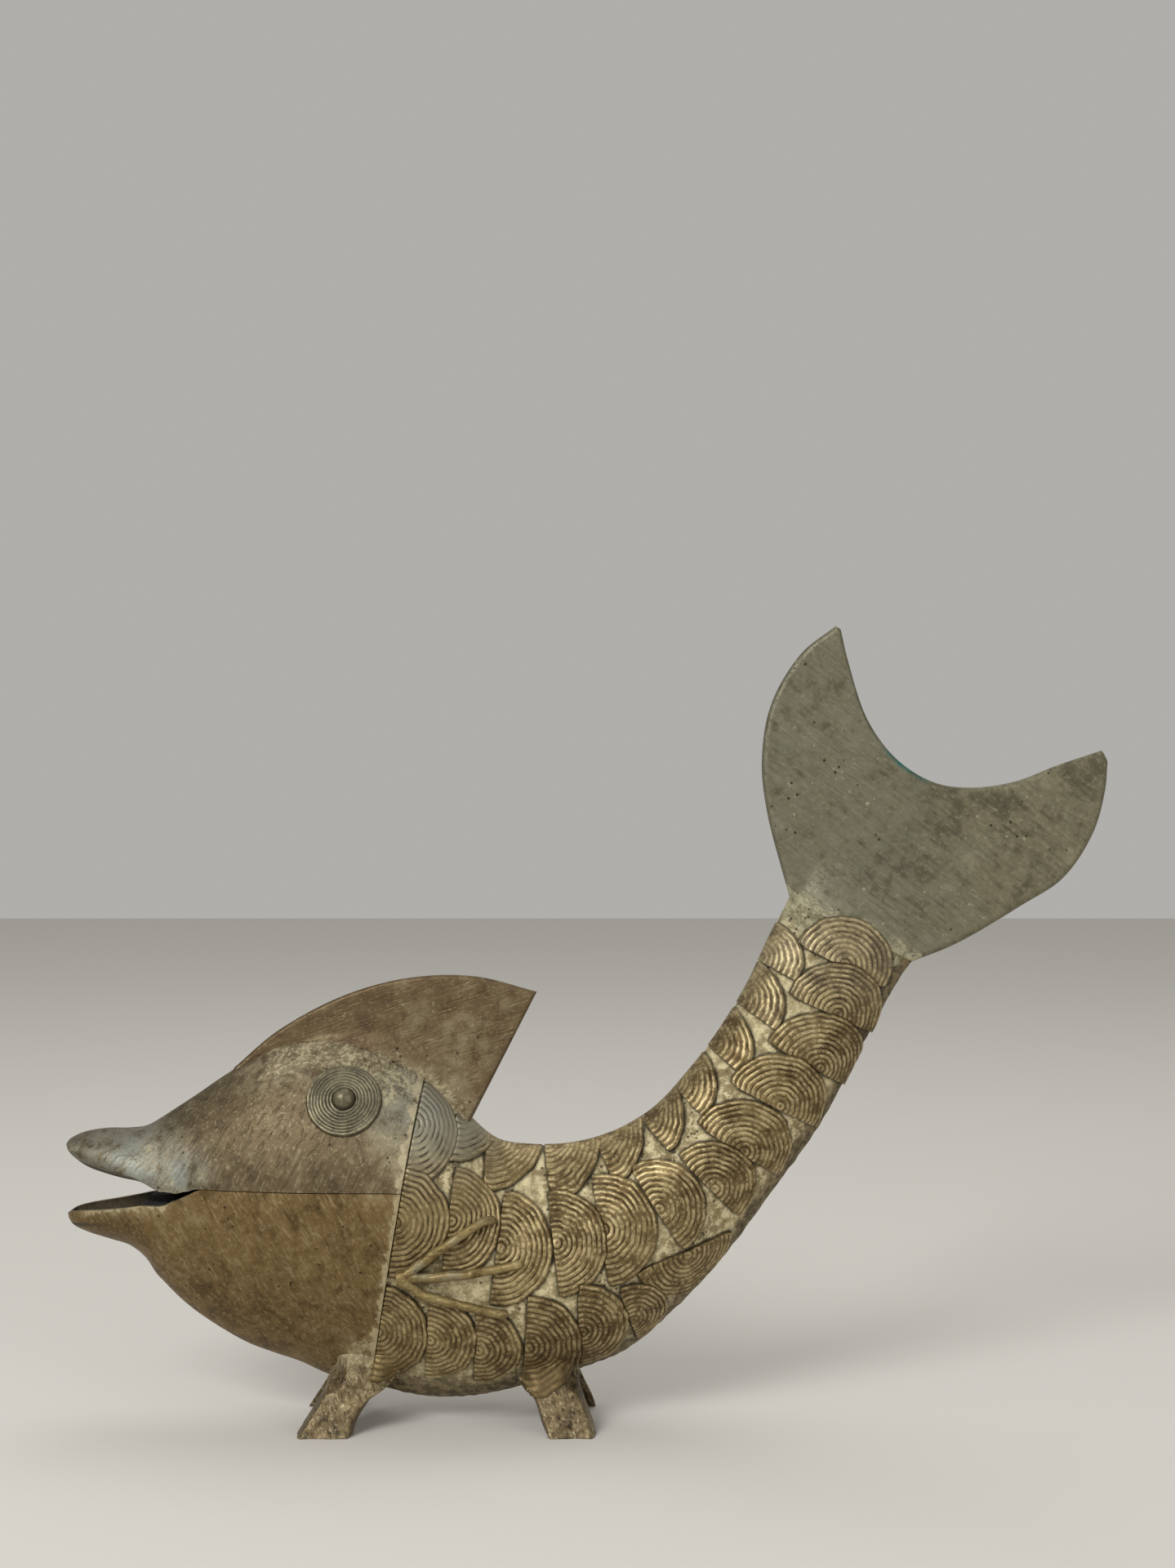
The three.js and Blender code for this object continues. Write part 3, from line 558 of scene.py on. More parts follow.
class Shader:
    """A material made of nodes"""

    def __init__(self, name):
        self.material = bpy.data.materials.new(name)
        self.material.use_nodes = True
        self.tree = self.material.node_tree
        self.tree.nodes.clear()

    def feed(self, socket, value):
        """Links a value to a socket, or sets the socket to a plain number or colour"""
        if isinstance(value, Value):
            self.tree.links.new(value.socket, socket)
        else:
            socket.default_value = value

    def node(self, kind, settings=None, inputs=None):
        """Any node, by its settings and inputs. Gives its outputs by name."""
        made = self.tree.nodes.new(kind)
        for key, value in (settings or {}).items():
            setattr(made, key, value)
        for key, value in (inputs or {}).items():
            self.feed(made.inputs[key], value)
        return {out.name: Value(self, out) for out in made.outputs}

    def mix(self, factor, first, second):
        """A colour that goes from the first to the second as the factor grows"""
        made = self.tree.nodes.new("ShaderNodeMix")
        made.data_type = "RGBA"
        made.clamp_factor = True
        for index, value in ((0, factor), (6, first), (7, second)):
            self.feed(made.inputs[index], value)
        return Value(self, made.outputs[2])

    def place(self, tilt=0.0, stretch=1.0):
        """The place on the fish in metres, stretched for strokes that rise by an angle in the side view"""
        here = self.node("ShaderNodeTexCoord")["Object"]
        if stretch == 1:
            return here
        return self.node("ShaderNodeMapping", {"vector_type": "TEXTURE"}, {
            "Vector": here, "Rotation": (0, -math.radians(tilt), 0), "Scale": (stretch, 1, 1)})["Vector"]

    def noise(self, where, size, detail=3.0, roughness=0.55):
        """Noise from 0 to 1, with features of about that size in millimetres"""
        return self.node("ShaderNodeTexNoise", {}, {
            "Vector": where, "Scale": 1 / (size * MM), "Detail": detail, "Roughness": roughness})["Fac"]

    def spots(self, where, size):
        """Distance from the nearest of scattered points, in shares of their spacing in millimetres"""
        return self.node("ShaderNodeTexVoronoi", {"feature": "F1"}, {
            "Vector": where, "Scale": 1 / (size * MM), "Randomness": 1.0})["Distance"]

    def attribute(self, name):
        """A value that the mesh holds at its points"""
        return self.node("ShaderNodeAttribute", {"attribute_name": name})["Fac"]

    def surface(self, colour, roughness, metallic, height, relief):
        """Ends the material. Relief is how many millimetres a height of 1 stands for."""
        bump = self.node("ShaderNodeBump", {}, {"Height": height, "Strength": 1.0, "Distance": relief * MM})
        skin = self.node("ShaderNodeBsdfPrincipled", {}, {
            "Base Color": colour, "Roughness": roughness, "Metallic": metallic, "Normal": bump["Normal"]})
        self.node("ShaderNodeOutputMaterial", {}, {"Surface": skin["BSDF"]})
        return self.material


def bronze(name, dark, middle, light, tilt, dust_and_highlight_colour="a09878", specks=0.0, pits=0.5, sheen="80847c",
           strong=1.0):
    """Patinated bronze with scraped strokes at a tilt, with mottling and pits, and with the dust, sheen,
    painted shade inside the mouth and green rust that the mesh holds; the dust along the lower lip's rim is
    also a painted highlight. Strong says how much the strokes show."""
    shader = Shader(name)
    here = shader.place()
    broad = shader.noise(here, 34, 2.0)
    mottle = shader.noise(here, 6, 4.0, 0.6)
    fine = shader.noise(here, 1.6, 3.0, 0.6)
    grain = shader.noise(here, 0.6, 2.0, 0.6)
    strokes = shader.noise(shader.place(tilt, 9), 1.3, 2.0, 0.5)
    hair = shader.noise(shader.place(tilt + 8, 14), 0.55, 1.0, 0.4)
    scuffs = shader.noise(shader.place(tilt - 7, 5), 0.9, 2.0, 0.5)
    streaky = 0.12 + 0.13 * strong
    tone = broad * 0.3 + mottle * (0.7 - streaky) + strokes * streaky
    colour = shader.mix(tone.between(0.38, 0.52), linear(dark), linear(middle))
    colour = shader.mix(tone.between(0.52, 0.66) * 0.55, colour, linear(light))
    colour = shader.mix(fine.between(0.54, 0.68) * 0.4, colour, linear(light))
    colour = shader.mix(fine.between(0.46, 0.32) * 0.35, colour, linear(dark))
    sheen_mask = shader.attribute("sheen") * (mottle * 0.6 + scuffs * 0.4).between(0.34, 0.56)
    colour = shader.mix(sheen_mask, colour, linear(sheen))
    scratch = hair.between(0.6, 0.66) * mottle.between(0.4, 0.56)
    scuffed = scuffs.between(0.6, 0.68) * fine.between(0.42, 0.58) * broad.between(0.4, 0.6)
    flecks = shader.noise(shader.place(tilt, 1.7), 1.4, 4.0, 0.7)
    colour = shader.mix((scratch * 0.75 + scuffed * 0.6) * strong, colour, linear(light))
    furrow = strokes.between(0.44, 0.34)
    colour = shader.mix(furrow * 0.2 * strong, colour, linear(dark))
    chips = shader.noise(here, 2.2, 4.0, 0.7).between(0.62, 0.67)
    chips = chips * shader.noise(here, 12, 2.0).between(0.46, 0.6)
    colour = shader.mix(chips * specks, colour, linear("a9a88c"))
    pit = 1 - shader.spots(here, 3.4).between(0.06, 0.17)
    pit = pit * shader.noise(here, 16, 1.0).between(0.6 - 0.12 * pits, 0.66 - 0.06 * pits)
    colour = shader.mix(pit * 0.85, colour, linear("221a0e"))
    dust_and_painted_light = shader.attribute("dust_and_painted_light")
    veil = dust_and_painted_light.between(0.1, 0.6) * mottle.between(0.3, 0.6)
    dust_and_highlight = (mottle * 0.3 + flecks * 0.7 + dust_and_painted_light - 1).between(-0.03, 0.08)
    dust_and_highlight = veil * 0.3 + dust_and_highlight * 0.6
    # Pale dust; along the lower lip's rim it is also a painted highlight
    colour = shader.mix(dust_and_highlight, colour, linear(dust_and_highlight_colour))
    colour = shader.mix(shader.attribute("verdigris") * mottle.between(0.3, 0.44), colour, linear("2b6e66"))
    # Painted shade inside the mouth, held by the mesh
    painted_mouth_shade = shader.attribute("painted_mouth_shade")
    colour = shader.mix(painted_mouth_shade, colour, linear("1b1a14"))
    roughness = 0.46 + grain * 0.12 + dust_and_highlight * 0.2 + painted_mouth_shade * 0.2 + (mottle - 0.5) * 0.2
    metallic = 0.7 - dust_and_highlight * 0.4 - painted_mouth_shade * 0.5
    height = mottle * 0.4 + fine * 0.3 + scuffed * 0.25 - furrow * 0.3
    height = height - scratch * 0.15 - pit * 1.4 + dust_and_highlight * 0.4
    return shader.surface(colour, roughness, metallic, height, 0.4)


def coil_bronze(name, groove_colour, dark, middle, top, sheen="a0a193"):
    """Patinated bronze thread: light on the tops, partly from wear and partly a painted highlight,
    and dark in the grooves, partly from patina and partly painted shade
    """
    shader = Shader(name)
    here = shader.place()
    broad = shader.noise(here, 30, 2.0)
    mottle = shader.noise(here, 5, 4.0, 0.6)
    fine = shader.noise(here, 1.3, 3.0, 0.6)
    grain = shader.noise(here, 0.5, 2.0, 0.6)
    groove = shader.attribute("groove")
    dust_and_painted_light = shader.attribute("dust_and_painted_light")
    tone = broad * 0.5 + mottle * 0.5
    colour = shader.mix(tone.between(0.38, 0.58), linear(dark), linear(middle))
    # Light tops: partly wear, partly a painted highlight
    worn = (1 - groove.between(0.0, 0.3)) * (mottle * 0.5 + fine * 0.5).between(0.4, 0.62)
    colour = shader.mix(worn * 0.8, colour, linear(top))
    colour = shader.mix(shader.attribute("sheen") * 0.75, colour, linear(sheen))
    # Dark grooves: patina and painted shade; painted shade alone on side walls and round the eye's boss
    colour = shader.mix(groove.between(0.25, 0.85) * 0.92, colour, linear(groove_colour))
    dust_and_highlight = (mottle * 0.5 + fine * 0.5 + dust_and_painted_light - 1).between(-0.12, 0.2)
    colour = shader.mix(dust_and_highlight * 0.6, colour, linear("9c9272"))
    roughness = 0.38 + grain * 0.12 + groove * 0.3 + dust_and_highlight * 0.2
    metallic = 0.78 - groove * 0.4 - dust_and_highlight * 0.4
    height = mottle * 0.5 + fine * 0.3
    return shader.surface(colour, roughness, metallic, height, 0.3)


def bare_bronze():
    """The rough pale casting skin between the scales, with painted shade beside the scales' edges and, with
    dark patina, towards the belly
    """
    shader = Shader("bare_bronze")
    here = shader.place()
    broad = shader.noise(here, 22, 2.0)
    lumps = shader.noise(here, 3, 4.0, 0.65)
    grain = shader.noise(here, 0.6, 3.0, 0.7)
    colour = shader.mix((broad * 0.5 + lumps * 0.5).between(0.38, 0.56), linear("81734f"), linear("ada07a"))
    colour = shader.mix((lumps * 0.6 + grain * 0.4).between(0.48, 0.58) * 0.85, colour, linear("d8cba4"))
    tail_tone = shader.mix(lumps.between(0.4, 0.6), linear("6f6a50"), linear("9b9579"))
    colour = shader.mix(shader.attribute("sheen") * 0.9, colour, tail_tone)
    pit = 1 - shader.spots(here, 2.2).between(0.1, 0.3)
    pit = pit * shader.noise(here, 8, 1.0).between(0.48, 0.58)
    colour = shader.mix(pit * 0.8, colour, linear("3a3018"))
    # Darker towards the belly: dark patina and painted shade
    belly_patina_and_shade = shader.mix(lumps.between(0.4, 0.6), linear("3f3420"), linear("6f5f40"))
    colour = shader.mix(shader.attribute("dust_and_painted_light") * 0.9, colour, belly_patina_and_shade)
    # Dark lines beside the scales' edges: painted shade
    colour = shader.mix(shader.attribute("groove") * 0.85, colour, linear("1c160c"))
    roughness = 0.62 + grain * 0.2
    metallic = 0.25 + lumps * 0.1
    height = lumps * 0.9 + grain * 0.25 - pit * 0.9
    return shader.surface(colour, roughness, metallic, height, 0.6)


finish_of = {
    "head": bronze("upper_head_bronze", "524630", "64563e", "958a6d", 61, strong=0.7, pits=0.3,
                   dust_and_highlight_colour="b3a888", sheen="8b9189"),
    "fin": bronze("fin_bronze", "574530", "65553b", "8e8063", 18, strong=0.3, pits=0.2, specks=0.4,
                  dust_and_highlight_colour="aba080"),
    "tail": bronze("tail_bronze", "585341", "726d56", "928d75", -38, strong=0.35, specks=0.8,
                   dust_and_highlight_colour="a59f82", sheen="6d6c5f"),
    "leg": bronze("leg_bronze", "362d1e", "6c5c40", "aea282", -70, dust_and_highlight_colour="a59a78", sheen="7c7f78"),
    "scale": coil_bronze("coil_bronze", "20180c", "5b4a2c", "7c6a45", "c0af84"),
    "bare": bare_bronze(),
}
lower_finish = bronze("lower_head_bronze", "584527", "745f3b", "9b8b67", -66, strong=0.8, pits=1.0,
                      dust_and_highlight_colour="a99c78", sheen="57431f")
eye_finish = coil_bronze("eye_bronze", "2c271a", "4a432f", "5a523a", "81775a")
rod_finish = bronze("rod_bronze", "5d4b28", "8a784e", "b5a77a", 10, strong=0.5, pits=0.1)


# Head. Spots of dust and of sheen on it: x, z, a radius and a strength
head_dust_spots = [
    (-82, 29, 8, 0.6),
    (-72, 122, 13, 0.56),
    (-71, 106, 11, 0.5),
    (-170, 79, 4, 0.5),
    (-160, 80, 4.5, 0.54),
    (-152, 81, 5, 0.56),
    (-146, 85, 5, 0.56),
    (-150, 89, 4, 0.55),
    (-138, 91, 6, 0.5),
    (-156, 99, 9, 0.52),
]
head_sheen_spots = [
    (-173, 70, 11, 0.75),
    (-162, 96, 13, 0.95),
    (-147, 91, 10, 0.8),
    (-178, 100, 12, 0.5),
    (-166, 84, 6, 0.4),
    (-66, 118, 12, 0.6),
]


def ring(high, waist, low, half):
    """A closed ring of a section"""
    turns = np.linspace(0, 2 * np.pi, head_sides, endpoint=False)
    high, waist, low = (np.tile(end, (head_sides, 1)) for end in (high, waist, low))
    return on_section(high, waist, low, np.full(head_sides, half), turns)


def value_at(places, x):
    """What a list of places and values comes to at a place along the fish"""
    return float(np.interp(x, *zip(*places)))


def head_half(beak, upper):
    """Rings of half a head: its beak, then its skin down to the gill, closed along the seam"""
    rows = []
    for i, (high, low, width) in enumerate(beak):
        high, low = np.array(high, float), np.array(low, float)
        towards_head = (i / len(beak)) ** 2
        share = 0.55 + 0.45 * towards_head if upper else 0.0
        rows.append([*high, *(high + (low - high) * share), *low, width / 2])
    for station in np.concatenate([np.linspace(0, 1.6, 9), np.linspace(2.2, gill, 7)]):
        high, waist, low, half = section(station)
        half *= value_at(lip_widening, waist[0])
        edge = waist.copy()
        uneven = 0.4 * ripple(np.array([[waist[0], 0, 40.0 * upper]]), 4, 60)[0] * (waist[0] < -139)
        if upper:
            edge[1] += clearance / 2 + uneven - value_at(upper_lip, waist[0])
            rows.append([*high, *edge, *edge, half])
        else:
            edge[1] += uneven - clearance / 2 - value_at(lower_lip, waist[0])
            rows.append([*edge, *edge, *low, half])
    through = Line(rows).at(np.linspace(0, 1, head_rings))
    return [ring(row[0:2], row[2:4], row[4:6], row[6]) for row in through]


def head_hollow():
    """The hollow from the mouth through the throat into the head"""
    rings = []
    for x, top, bottom, half in throat:
        high, low = np.array([x, seam_height + top]), np.array([x, seam_height + bottom])
        rings.append(ring(high, np.array([x, seam_height]), low, half))
    for station in np.linspace(1.2, gill + 0.4, 12):
        rings.append(ring(*section(station, head_wall)))
    return rings


def trough():
    """The spoon-like hollow of the lower beak"""
    rows = []
    for high, low, width in lower_beak[1:]:
        rim, low = np.array(high, float), np.array(low, float)
        floor = rim + (low - rim) * 0.5
        floor[1] = max(floor[1], rim[1] - trough_depth)
        rows.append([rim[0], rim[1] + 4, *rim, *floor, width / 2 - beak_wall])
    through = Line(rows).at(np.linspace(0, 1, 30))
    return [ring(row[0:2], row[2:4], row[4:6], row[6]) for row in through]


def patches(points, places):
    """How strongly spots mark points, from 0 to 1. Places list x, z, a radius and a strength for each."""
    total = np.zeros(len(points))
    for x, z, radius, strength in places:
        away = np.hypot(points[:, 0] - x, points[:, 2] - z) / radius
        total = np.maximum(total, strength * np.exp(-away ** 2))
    return total


def behind_gill(points):
    """How far points lie behind the gill line, in millimetres: negative on the head"""
    high, _, low, _ = section(float(gill))
    return points[:, 0] - np.interp(points[:, 2], [low[1], high[1]], [low[0], high[0]])


def head_attributes(points):
    """Dust on the head where the fin, the gill and the front leg meet it, pale chips with a painted highlight
    along its lower lip's rim, and the sheen of the beak and of the skin behind the eye"""
    x, z = points[:, 0], points[:, 2]
    wavy = ripple(points, 11, 3)
    behind_brow = smoothstep(x, -146, -112)
    under_fin = np.interp(x, [-150, -129, -110, -90, -70, -56], [108, 118, 122, 124, 117, 108])
    dust_and_painted_light = 0.5 * behind_brow * smoothstep(z - under_fin + 3 * wavy, -8, 8)
    dust_and_painted_light = np.maximum(dust_and_painted_light, 0.62 * smoothstep(behind_gill(points) + 1.2 * ripple(points, 6, 4), -3.4, -1.4))
    dust_and_painted_light = np.maximum(dust_and_painted_light, patches(points, head_dust_spots))
    # Along the lower lip's rim: pale chips and a painted highlight
    rim = np.interp(x, [-190, -174, -160, -147, -142], [75.8, 78.8, 80.8, 83.1, 85.9])
    lip_chips_and_highlight = smoothstep(z - rim + 0.8 * ripple(points, 4, 16), -3.2, -0.6) * (z < 86.5)
    dust_and_painted_light = np.maximum(dust_and_painted_light, 0.57 * lip_chips_and_highlight * smoothstep(x, -187, -180) * (1 - smoothstep(x, -152, -140)))
    return {"dust_and_painted_light": dust_and_painted_light, "sheen": patches(points, head_sheen_spots)}


def in_mouth(points):
    """Painted shade inside the mouth: 1 deep inside it, a little less towards the beak's tip, and 0 on the
    outside of the head
    """
    x, side, z = points[:, 0], np.abs(points[:, 1]), points[:, 2]
    half = np.interp(x, [-190, -187, -182, -174, -166, -160, -154, -142], [1, 6, 9.5, 12.5, 15, 16, 16.3, 19])
    floor = np.interp(x, [-190, -174, -160], [75.6, 78.8, 80.8])
    inside = smoothstep(half - side, 1.2, 2.0) * smoothstep(z - floor + trough_depth, -1, 1)
    ceiling = np.interp(x, [-190, -176, -161], [99, 90, 87.8])
    deep = 0.72 + 0.28 * smoothstep(x, -168, -158)
    return inside * deep * (z < ceiling + 7) * (1 - smoothstep(z - ceiling, 2, 6)) * (x < -136)


def mark(made, name, measure):
    """Gives a mesh's points a value each, measured at their places"""
    mesh = made.data
    places = np.empty(len(mesh.vertices) * 3)
    mesh.vertices.foreach_get("co", places)
    values = measure(places.reshape(-1, 3) / MM - (shift, 0, 0))
    layer = mesh.attributes.get(name) or mesh.attributes.new(name, "FLOAT", "POINT")
    layer.data.foreach_set("value", values)


def head():
    """Both halves of the head, hollow and open at the mouth"""
    cutters = [scratch_solid("hollow", head_hollow()), scratch_solid("trough", trough())]
    for name, beak, upper, node in (("upper_head", upper_beak, True, "head_upper"),
                                    ("lower_head", lower_beak, False, "head_lower")):
        points, faces = tube(head_half(beak, upper))
        points[:, 1] *= 1 + 0.012 * ripple(points, 24, 7) + 0.005 * ripple(points, 9, 8)
        chips = smoothstep(behind_gill(points), -3.6, -1.6) * smoothstep(ripple(points, 2.6, 9), -0.5, 0.6)
        points[:, 1] += 0.55 * chips * np.sign(points[:, 1]) * smoothstep(np.abs(points[:, 1]), 2, 8)
        made = piece(name, points, faces, "head", node, attributes=head_attributes(points), sharp=40,
                     finish=None if upper else lower_finish)
        cut(made, cutters[:1] if upper else cutters)
        # Painted shade inside the mouth
        mark(made, "painted_mouth_shade", in_mouth)
        made.data.set_sharp_from_angle(angle=math.radians(40))
    for tool in cutters:
        bpy.data.objects.remove(tool)


# Body
def body():
    """The bare shell between the scales, open at both ends"""
    turns = np.linspace(0, 2 * np.pi, skin_columns, endpoint=False)
    inner_where = np.repeat(np.linspace(gill, tail_root, inner_skin_rows), skin_columns)
    inner = on_skin(inner_where, np.tile(turns, inner_skin_rows), scale_relief + body_wall)
    where = np.repeat(np.linspace(gill, tail_root, skin_rows), skin_columns)
    around = np.tile(turns, skin_rows)
    outer = on_skin(where, around, scale_relief)
    ridge = 1 - smoothstep(np.minimum(around, 2 * np.pi - around), 0.15, 0.6)
    raised = 0.18 * ripple(outer, 5, 11) - 0.05 + 0.55 * ridge
    outer = outer + skin_frame(where, around, scale_relief)[3] * raised[:, None]
    faces = grid_faces(skin_rows, skin_columns, True).tolist()
    faces += (grid_faces(inner_skin_rows, skin_columns, True) + len(outer)).tolist()
    points = np.vstack([outer, inner])
    for a, b in ((0, len(outer)), (len(outer) - skin_columns, len(points) - skin_columns)):
        for i in range(skin_columns):
            j = (i + 1) % skin_columns
            faces.append([a + i, a + j, b + j, b + i])
    # Dark lines beside the scales' edges, where they stand free of the skin: painted shade
    groove = np.zeros(len(points))
    for outline in laid:
        low, high = outline.min(0) - 2, outline.max(0) + 2
        near = np.flatnonzero((outer[:, [0, 2]] > low).all(-1) & (outer[:, [0, 2]] < high).all(-1))
        painted_edge_shade = smoothstep(covered(outer[near], outline) + 0.25 * ripple(outer[near], 4, 12), -0.85, -0.1)
        groove[near] = np.maximum(groove[near], painted_edge_shade)
    _, _, depth = flank_at(outer[:, 0], outer[:, 2], scale_relief)
    # Darker towards the belly: dark patina and painted shade
    belly_patina_and_shade, tail_tone = np.zeros(len(points)), np.zeros(len(points))
    belly_patina_and_shade[:len(outer)] = smoothstep(depth + 0.02 * ripple(outer, 9, 13), 0.86, 0.95)
    before_root = tail_root - where + 0.1 * ripple(outer, 10, 14)
    tail_tone[:len(outer)] = 1 - smoothstep(before_root, 0.25, 0.9)
    piece("body_skin", points, faces, "bare", "body_shell",
          attributes={"groove": groove, "dust_and_painted_light": belly_patina_and_shade, "sheen": tail_tone})


# Fins
def far_from(points, outline):
    """Distance in the side view from points to a line through an outline"""
    a, b = outline[:-1], outline[1:]
    way = b - a
    share = np.einsum("ijk,jk->ij", points[:, None] - a, way) / np.maximum(1e-9, (way ** 2).sum(-1))
    near = a + way * np.clip(share, 0, 1)[..., None]
    return np.linalg.norm(points[:, None] - near, axis=-1).min(-1)


def rounded(half, away, radius):
    """Half a plate's thickness, falling to nothing round its rim"""
    share = np.clip(away / radius, 0, 1)
    return np.maximum(0.04, half * np.sqrt(1 - (1 - share) ** 2))


def plate_mesh(flat, half, rows, columns):
    """A plate's two faces, sewn together round its border"""
    near = np.stack([flat[:, 0], -half, flat[:, 1]], -1)
    points = np.vstack([near, near * (1, -1, 1)])
    faces = grid_faces(rows, columns, False)
    both = faces.tolist() + (faces + len(near)).tolist()
    number = np.arange(rows * columns).reshape(rows, columns)
    border = [*number[0, :-1], *number[:-1, -1], *number[-1, :0:-1], *number[:0:-1, 0]]
    for a, b in zip(border, border[1:] + border[:1]):
        both.append([a, b, b + len(near), a + len(near)])
    return points, both


def crowded(count, start, end):
    """Shares from 0 to 1 that crowd together at the start, at the end or at both"""
    share = np.linspace(0, 1, count)
    if start and end:
        return (1 - np.cos(np.pi * share)) / 2
    if end:
        return np.sin(np.pi / 2 * share) ** 0.9
    return 1 - np.sin(np.pi / 2 * (1 - share)) ** 0.9


def dorsal_fin():
    """A plate that is thick at the brow and thin at its crest"""
    columns, rows = 160, 60
    crest = Line(dorsal_crest).spaced(400)
    crest = np.stack([np.interp(crowded(columns, False, True), np.linspace(0, 1, 401), crest[:, k])
                      for k in (0, 1)], -1)
    where = dorsal_front + (dorsal_rear - dorsal_front) * crowded(columns, False, True)
    high, _, low, _ = section(where)
    base = high + (low - high) * 0.06
    up = crowded(rows, False, True)[:, None, None]
    flat = (base + (crest - base) * up).reshape(-1, 2)
    share = np.repeat(up.ravel(), columns)
    outline = np.vstack([crest, base[-1:]])
    half = (dorsal_root + (dorsal_plate - dorsal_root) * smoothstep(share, 0, dorsal_flare)) / 2
    half = half * (1 + 0.05 * ripple(np.stack([flat[:, 0], 0 * share, flat[:, 1]], -1), 25, 5))
    half = rounded(half, far_from(flat, outline), 1.4)
    points, faces = plate_mesh(flat, half, rows, columns)
    near_side = points[:len(flat)]
    wavy = 0.06 * ripple(near_side, 14, 6)
    dust_and_painted_light = 0.52 * (1 - smoothstep(share + wavy, 0.08, 0.4)) * smoothstep(flat[:, 0], -128, -100)
    scuffs = patches(near_side, [(-44, 137, 17, 0.4), (-62, 146, 10, 0.36), (-30, 152, 9, 0.36)])
    attributes = {"dust_and_painted_light": np.tile(np.maximum(dust_and_painted_light, scuffs), 2)}
    piece("dorsal_plate", points, faces, "fin", "dorsal_fin", attributes=attributes, sharp=80)


def tail_fin():
    """A crescent plate that grows out of the body's end"""
    high, _, low, half_root = section(tail_root, scale_relief)
    edge_columns, root_columns, rows = 80, 40, 90
    upper = Line(tail_upper_edge + [tuple(high)]).spaced(edge_columns)
    lower = Line([tuple(low)] + tail_lower_edge).spaced(edge_columns)
    root = high + (low - high) * np.linspace(0, 1, root_columns)[1:-1, None]
    outer = np.vstack([upper, root, lower])
    inner = Line(tail_bay).spaced(len(outer) - 1)
    across = crowded(rows, True, True)[:, None, None]
    flat = (outer + (inner - outer) * across).reshape(-1, 2)
    root_length = np.linalg.norm(low - high)
    along_root = (low - high) / root_length
    from_high = flat - high
    down = np.clip(from_high @ along_root / root_length, 0, 1)
    away = np.linalg.norm(from_high - np.outer(from_high @ along_root, along_root), axis=-1)
    lens = half_root * (1 - (2 * down - 1) ** 2) ** (ridge_sharpness / 2)
    half = lens + (tail_plate / 2 - lens) * smoothstep(away, 0, tail_flare)
    half = np.maximum(half, tail_plate / 2)
    half = half * (1 + 0.06 * ripple(np.stack([flat[:, 0], 0 * away, flat[:, 1]], -1), 30, 8))
    for edge, radius in ((upper, 2.2), (inner, 2.0), (lower, 2.2)):
        half = rounded(half, far_from(flat, edge), radius)
    points, faces = plate_mesh(flat, half, rows, len(outer))
    near_side = points[:len(flat)]
    near_bay = far_from(flat, Line(tail_bay).spaced(60))
    dust_and_painted_light = 0.45 * (1 - smoothstep(near_bay, 0, 3)) * smoothstep(ripple(near_side, 18, 9), 0, 0.8)
    dust_and_painted_light = np.maximum(dust_and_painted_light, 0.6 * (1 - smoothstep(away + 2 * ripple(near_side, 10, 10), 0, 13)))
    bluer = 0.5 * (1 - smoothstep(flat[:, 0] + 8 * ripple(near_side, 30, 15), 105, 150))
    green = patches(near_side, [
        (111, 243, 2.4, 0.9), (114.5, 240, 2.8, 1), (118.5, 237, 2.8, 1), (122, 234.8, 2.2, 0.8)])
    green = green * (1 - smoothstep(near_bay, 0.9, 2.2))
    attributes = {"dust_and_painted_light": np.tile(dust_and_painted_light, 2), "sheen": np.tile(bluer, 2), "verdigris": np.tile(green, 2)}
    piece("tail_plate", points, faces, "tail", "tail_fin", attributes=attributes, sharp=80)


# Legs
def leg(name, levels, node):
    """A folded plate on each side, flared at its sole, that runs up into the body"""
    rows = Line([[height, *ends, inset] for height, ends, inset in levels]).at(
        np.concatenate([[0, 0.008], np.linspace(0.03, 1, 40)]))
    rings = []
    for number, (height, front, rear, inset) in enumerate(rows):
        corners = np.array([
            (front - flange_splay, leg_flange), (front, 0), (rear, 0), (rear + flange_splay, leg_flange),
            (rear + flange_splay - leg_plate, leg_flange), (rear - leg_plate, leg_plate),
            (front + leg_plate, leg_plate), (front - flange_splay + leg_plate, leg_flange)])
        path = np.vstack([corners, corners[:1]])
        travelled = np.concatenate([[0], np.cumsum(np.linalg.norm(np.diff(path, axis=0), axis=1))])
        wanted = np.linspace(0, travelled[-1], leg_sides, endpoint=False)
        outline = np.stack([np.interp(wanted, travelled, path[:, k]) for k in (0, 1)], -1)
        for _ in range(7):
            outline = (np.roll(outline, 1, 0) + 2 * outline + np.roll(outline, -1, 0)) / 4
        if number == 0:
            outline += (corners.mean(0) - outline) * (0.03, 0.05)
        rings.append(np.stack([outline[:, 0], inset + outline[:, 1] - body_width / 2,
                               np.full(len(outline), height)], -1))
    points, faces = tube(rings)
    x, side, z = points[:, 0], -points[:, 1], points[:, 2]
    skin, _, depth = flank_at(x, z, 0)
    skin = np.where(depth < 1, skin, 0) - 0.3 - smoothstep(z, 25, 29)
    proud = np.maximum(0, side - skin)
    points[:, 1] += proud * (1 - leg_at(levels, x, z)[2]) * smoothstep(z, 10, 16)
    rough = 0.35 * ripple(points, 8, 70) + 0.15 * ripple(points, 3, 71)
    points = points + np.stack([rough * 0.6, rough, 0 * rough], -1)
    points[:, 2] = np.maximum(points[:, 2], 0)
    dust_and_painted_light = 0.54 * smoothstep(points[:, 2] + 2 * ripple(points, 6, 72), 17, 24)
    pair(name, points, faces, "leg", node, attributes={"dust_and_painted_light": dust_and_painted_light}, sharp=55)


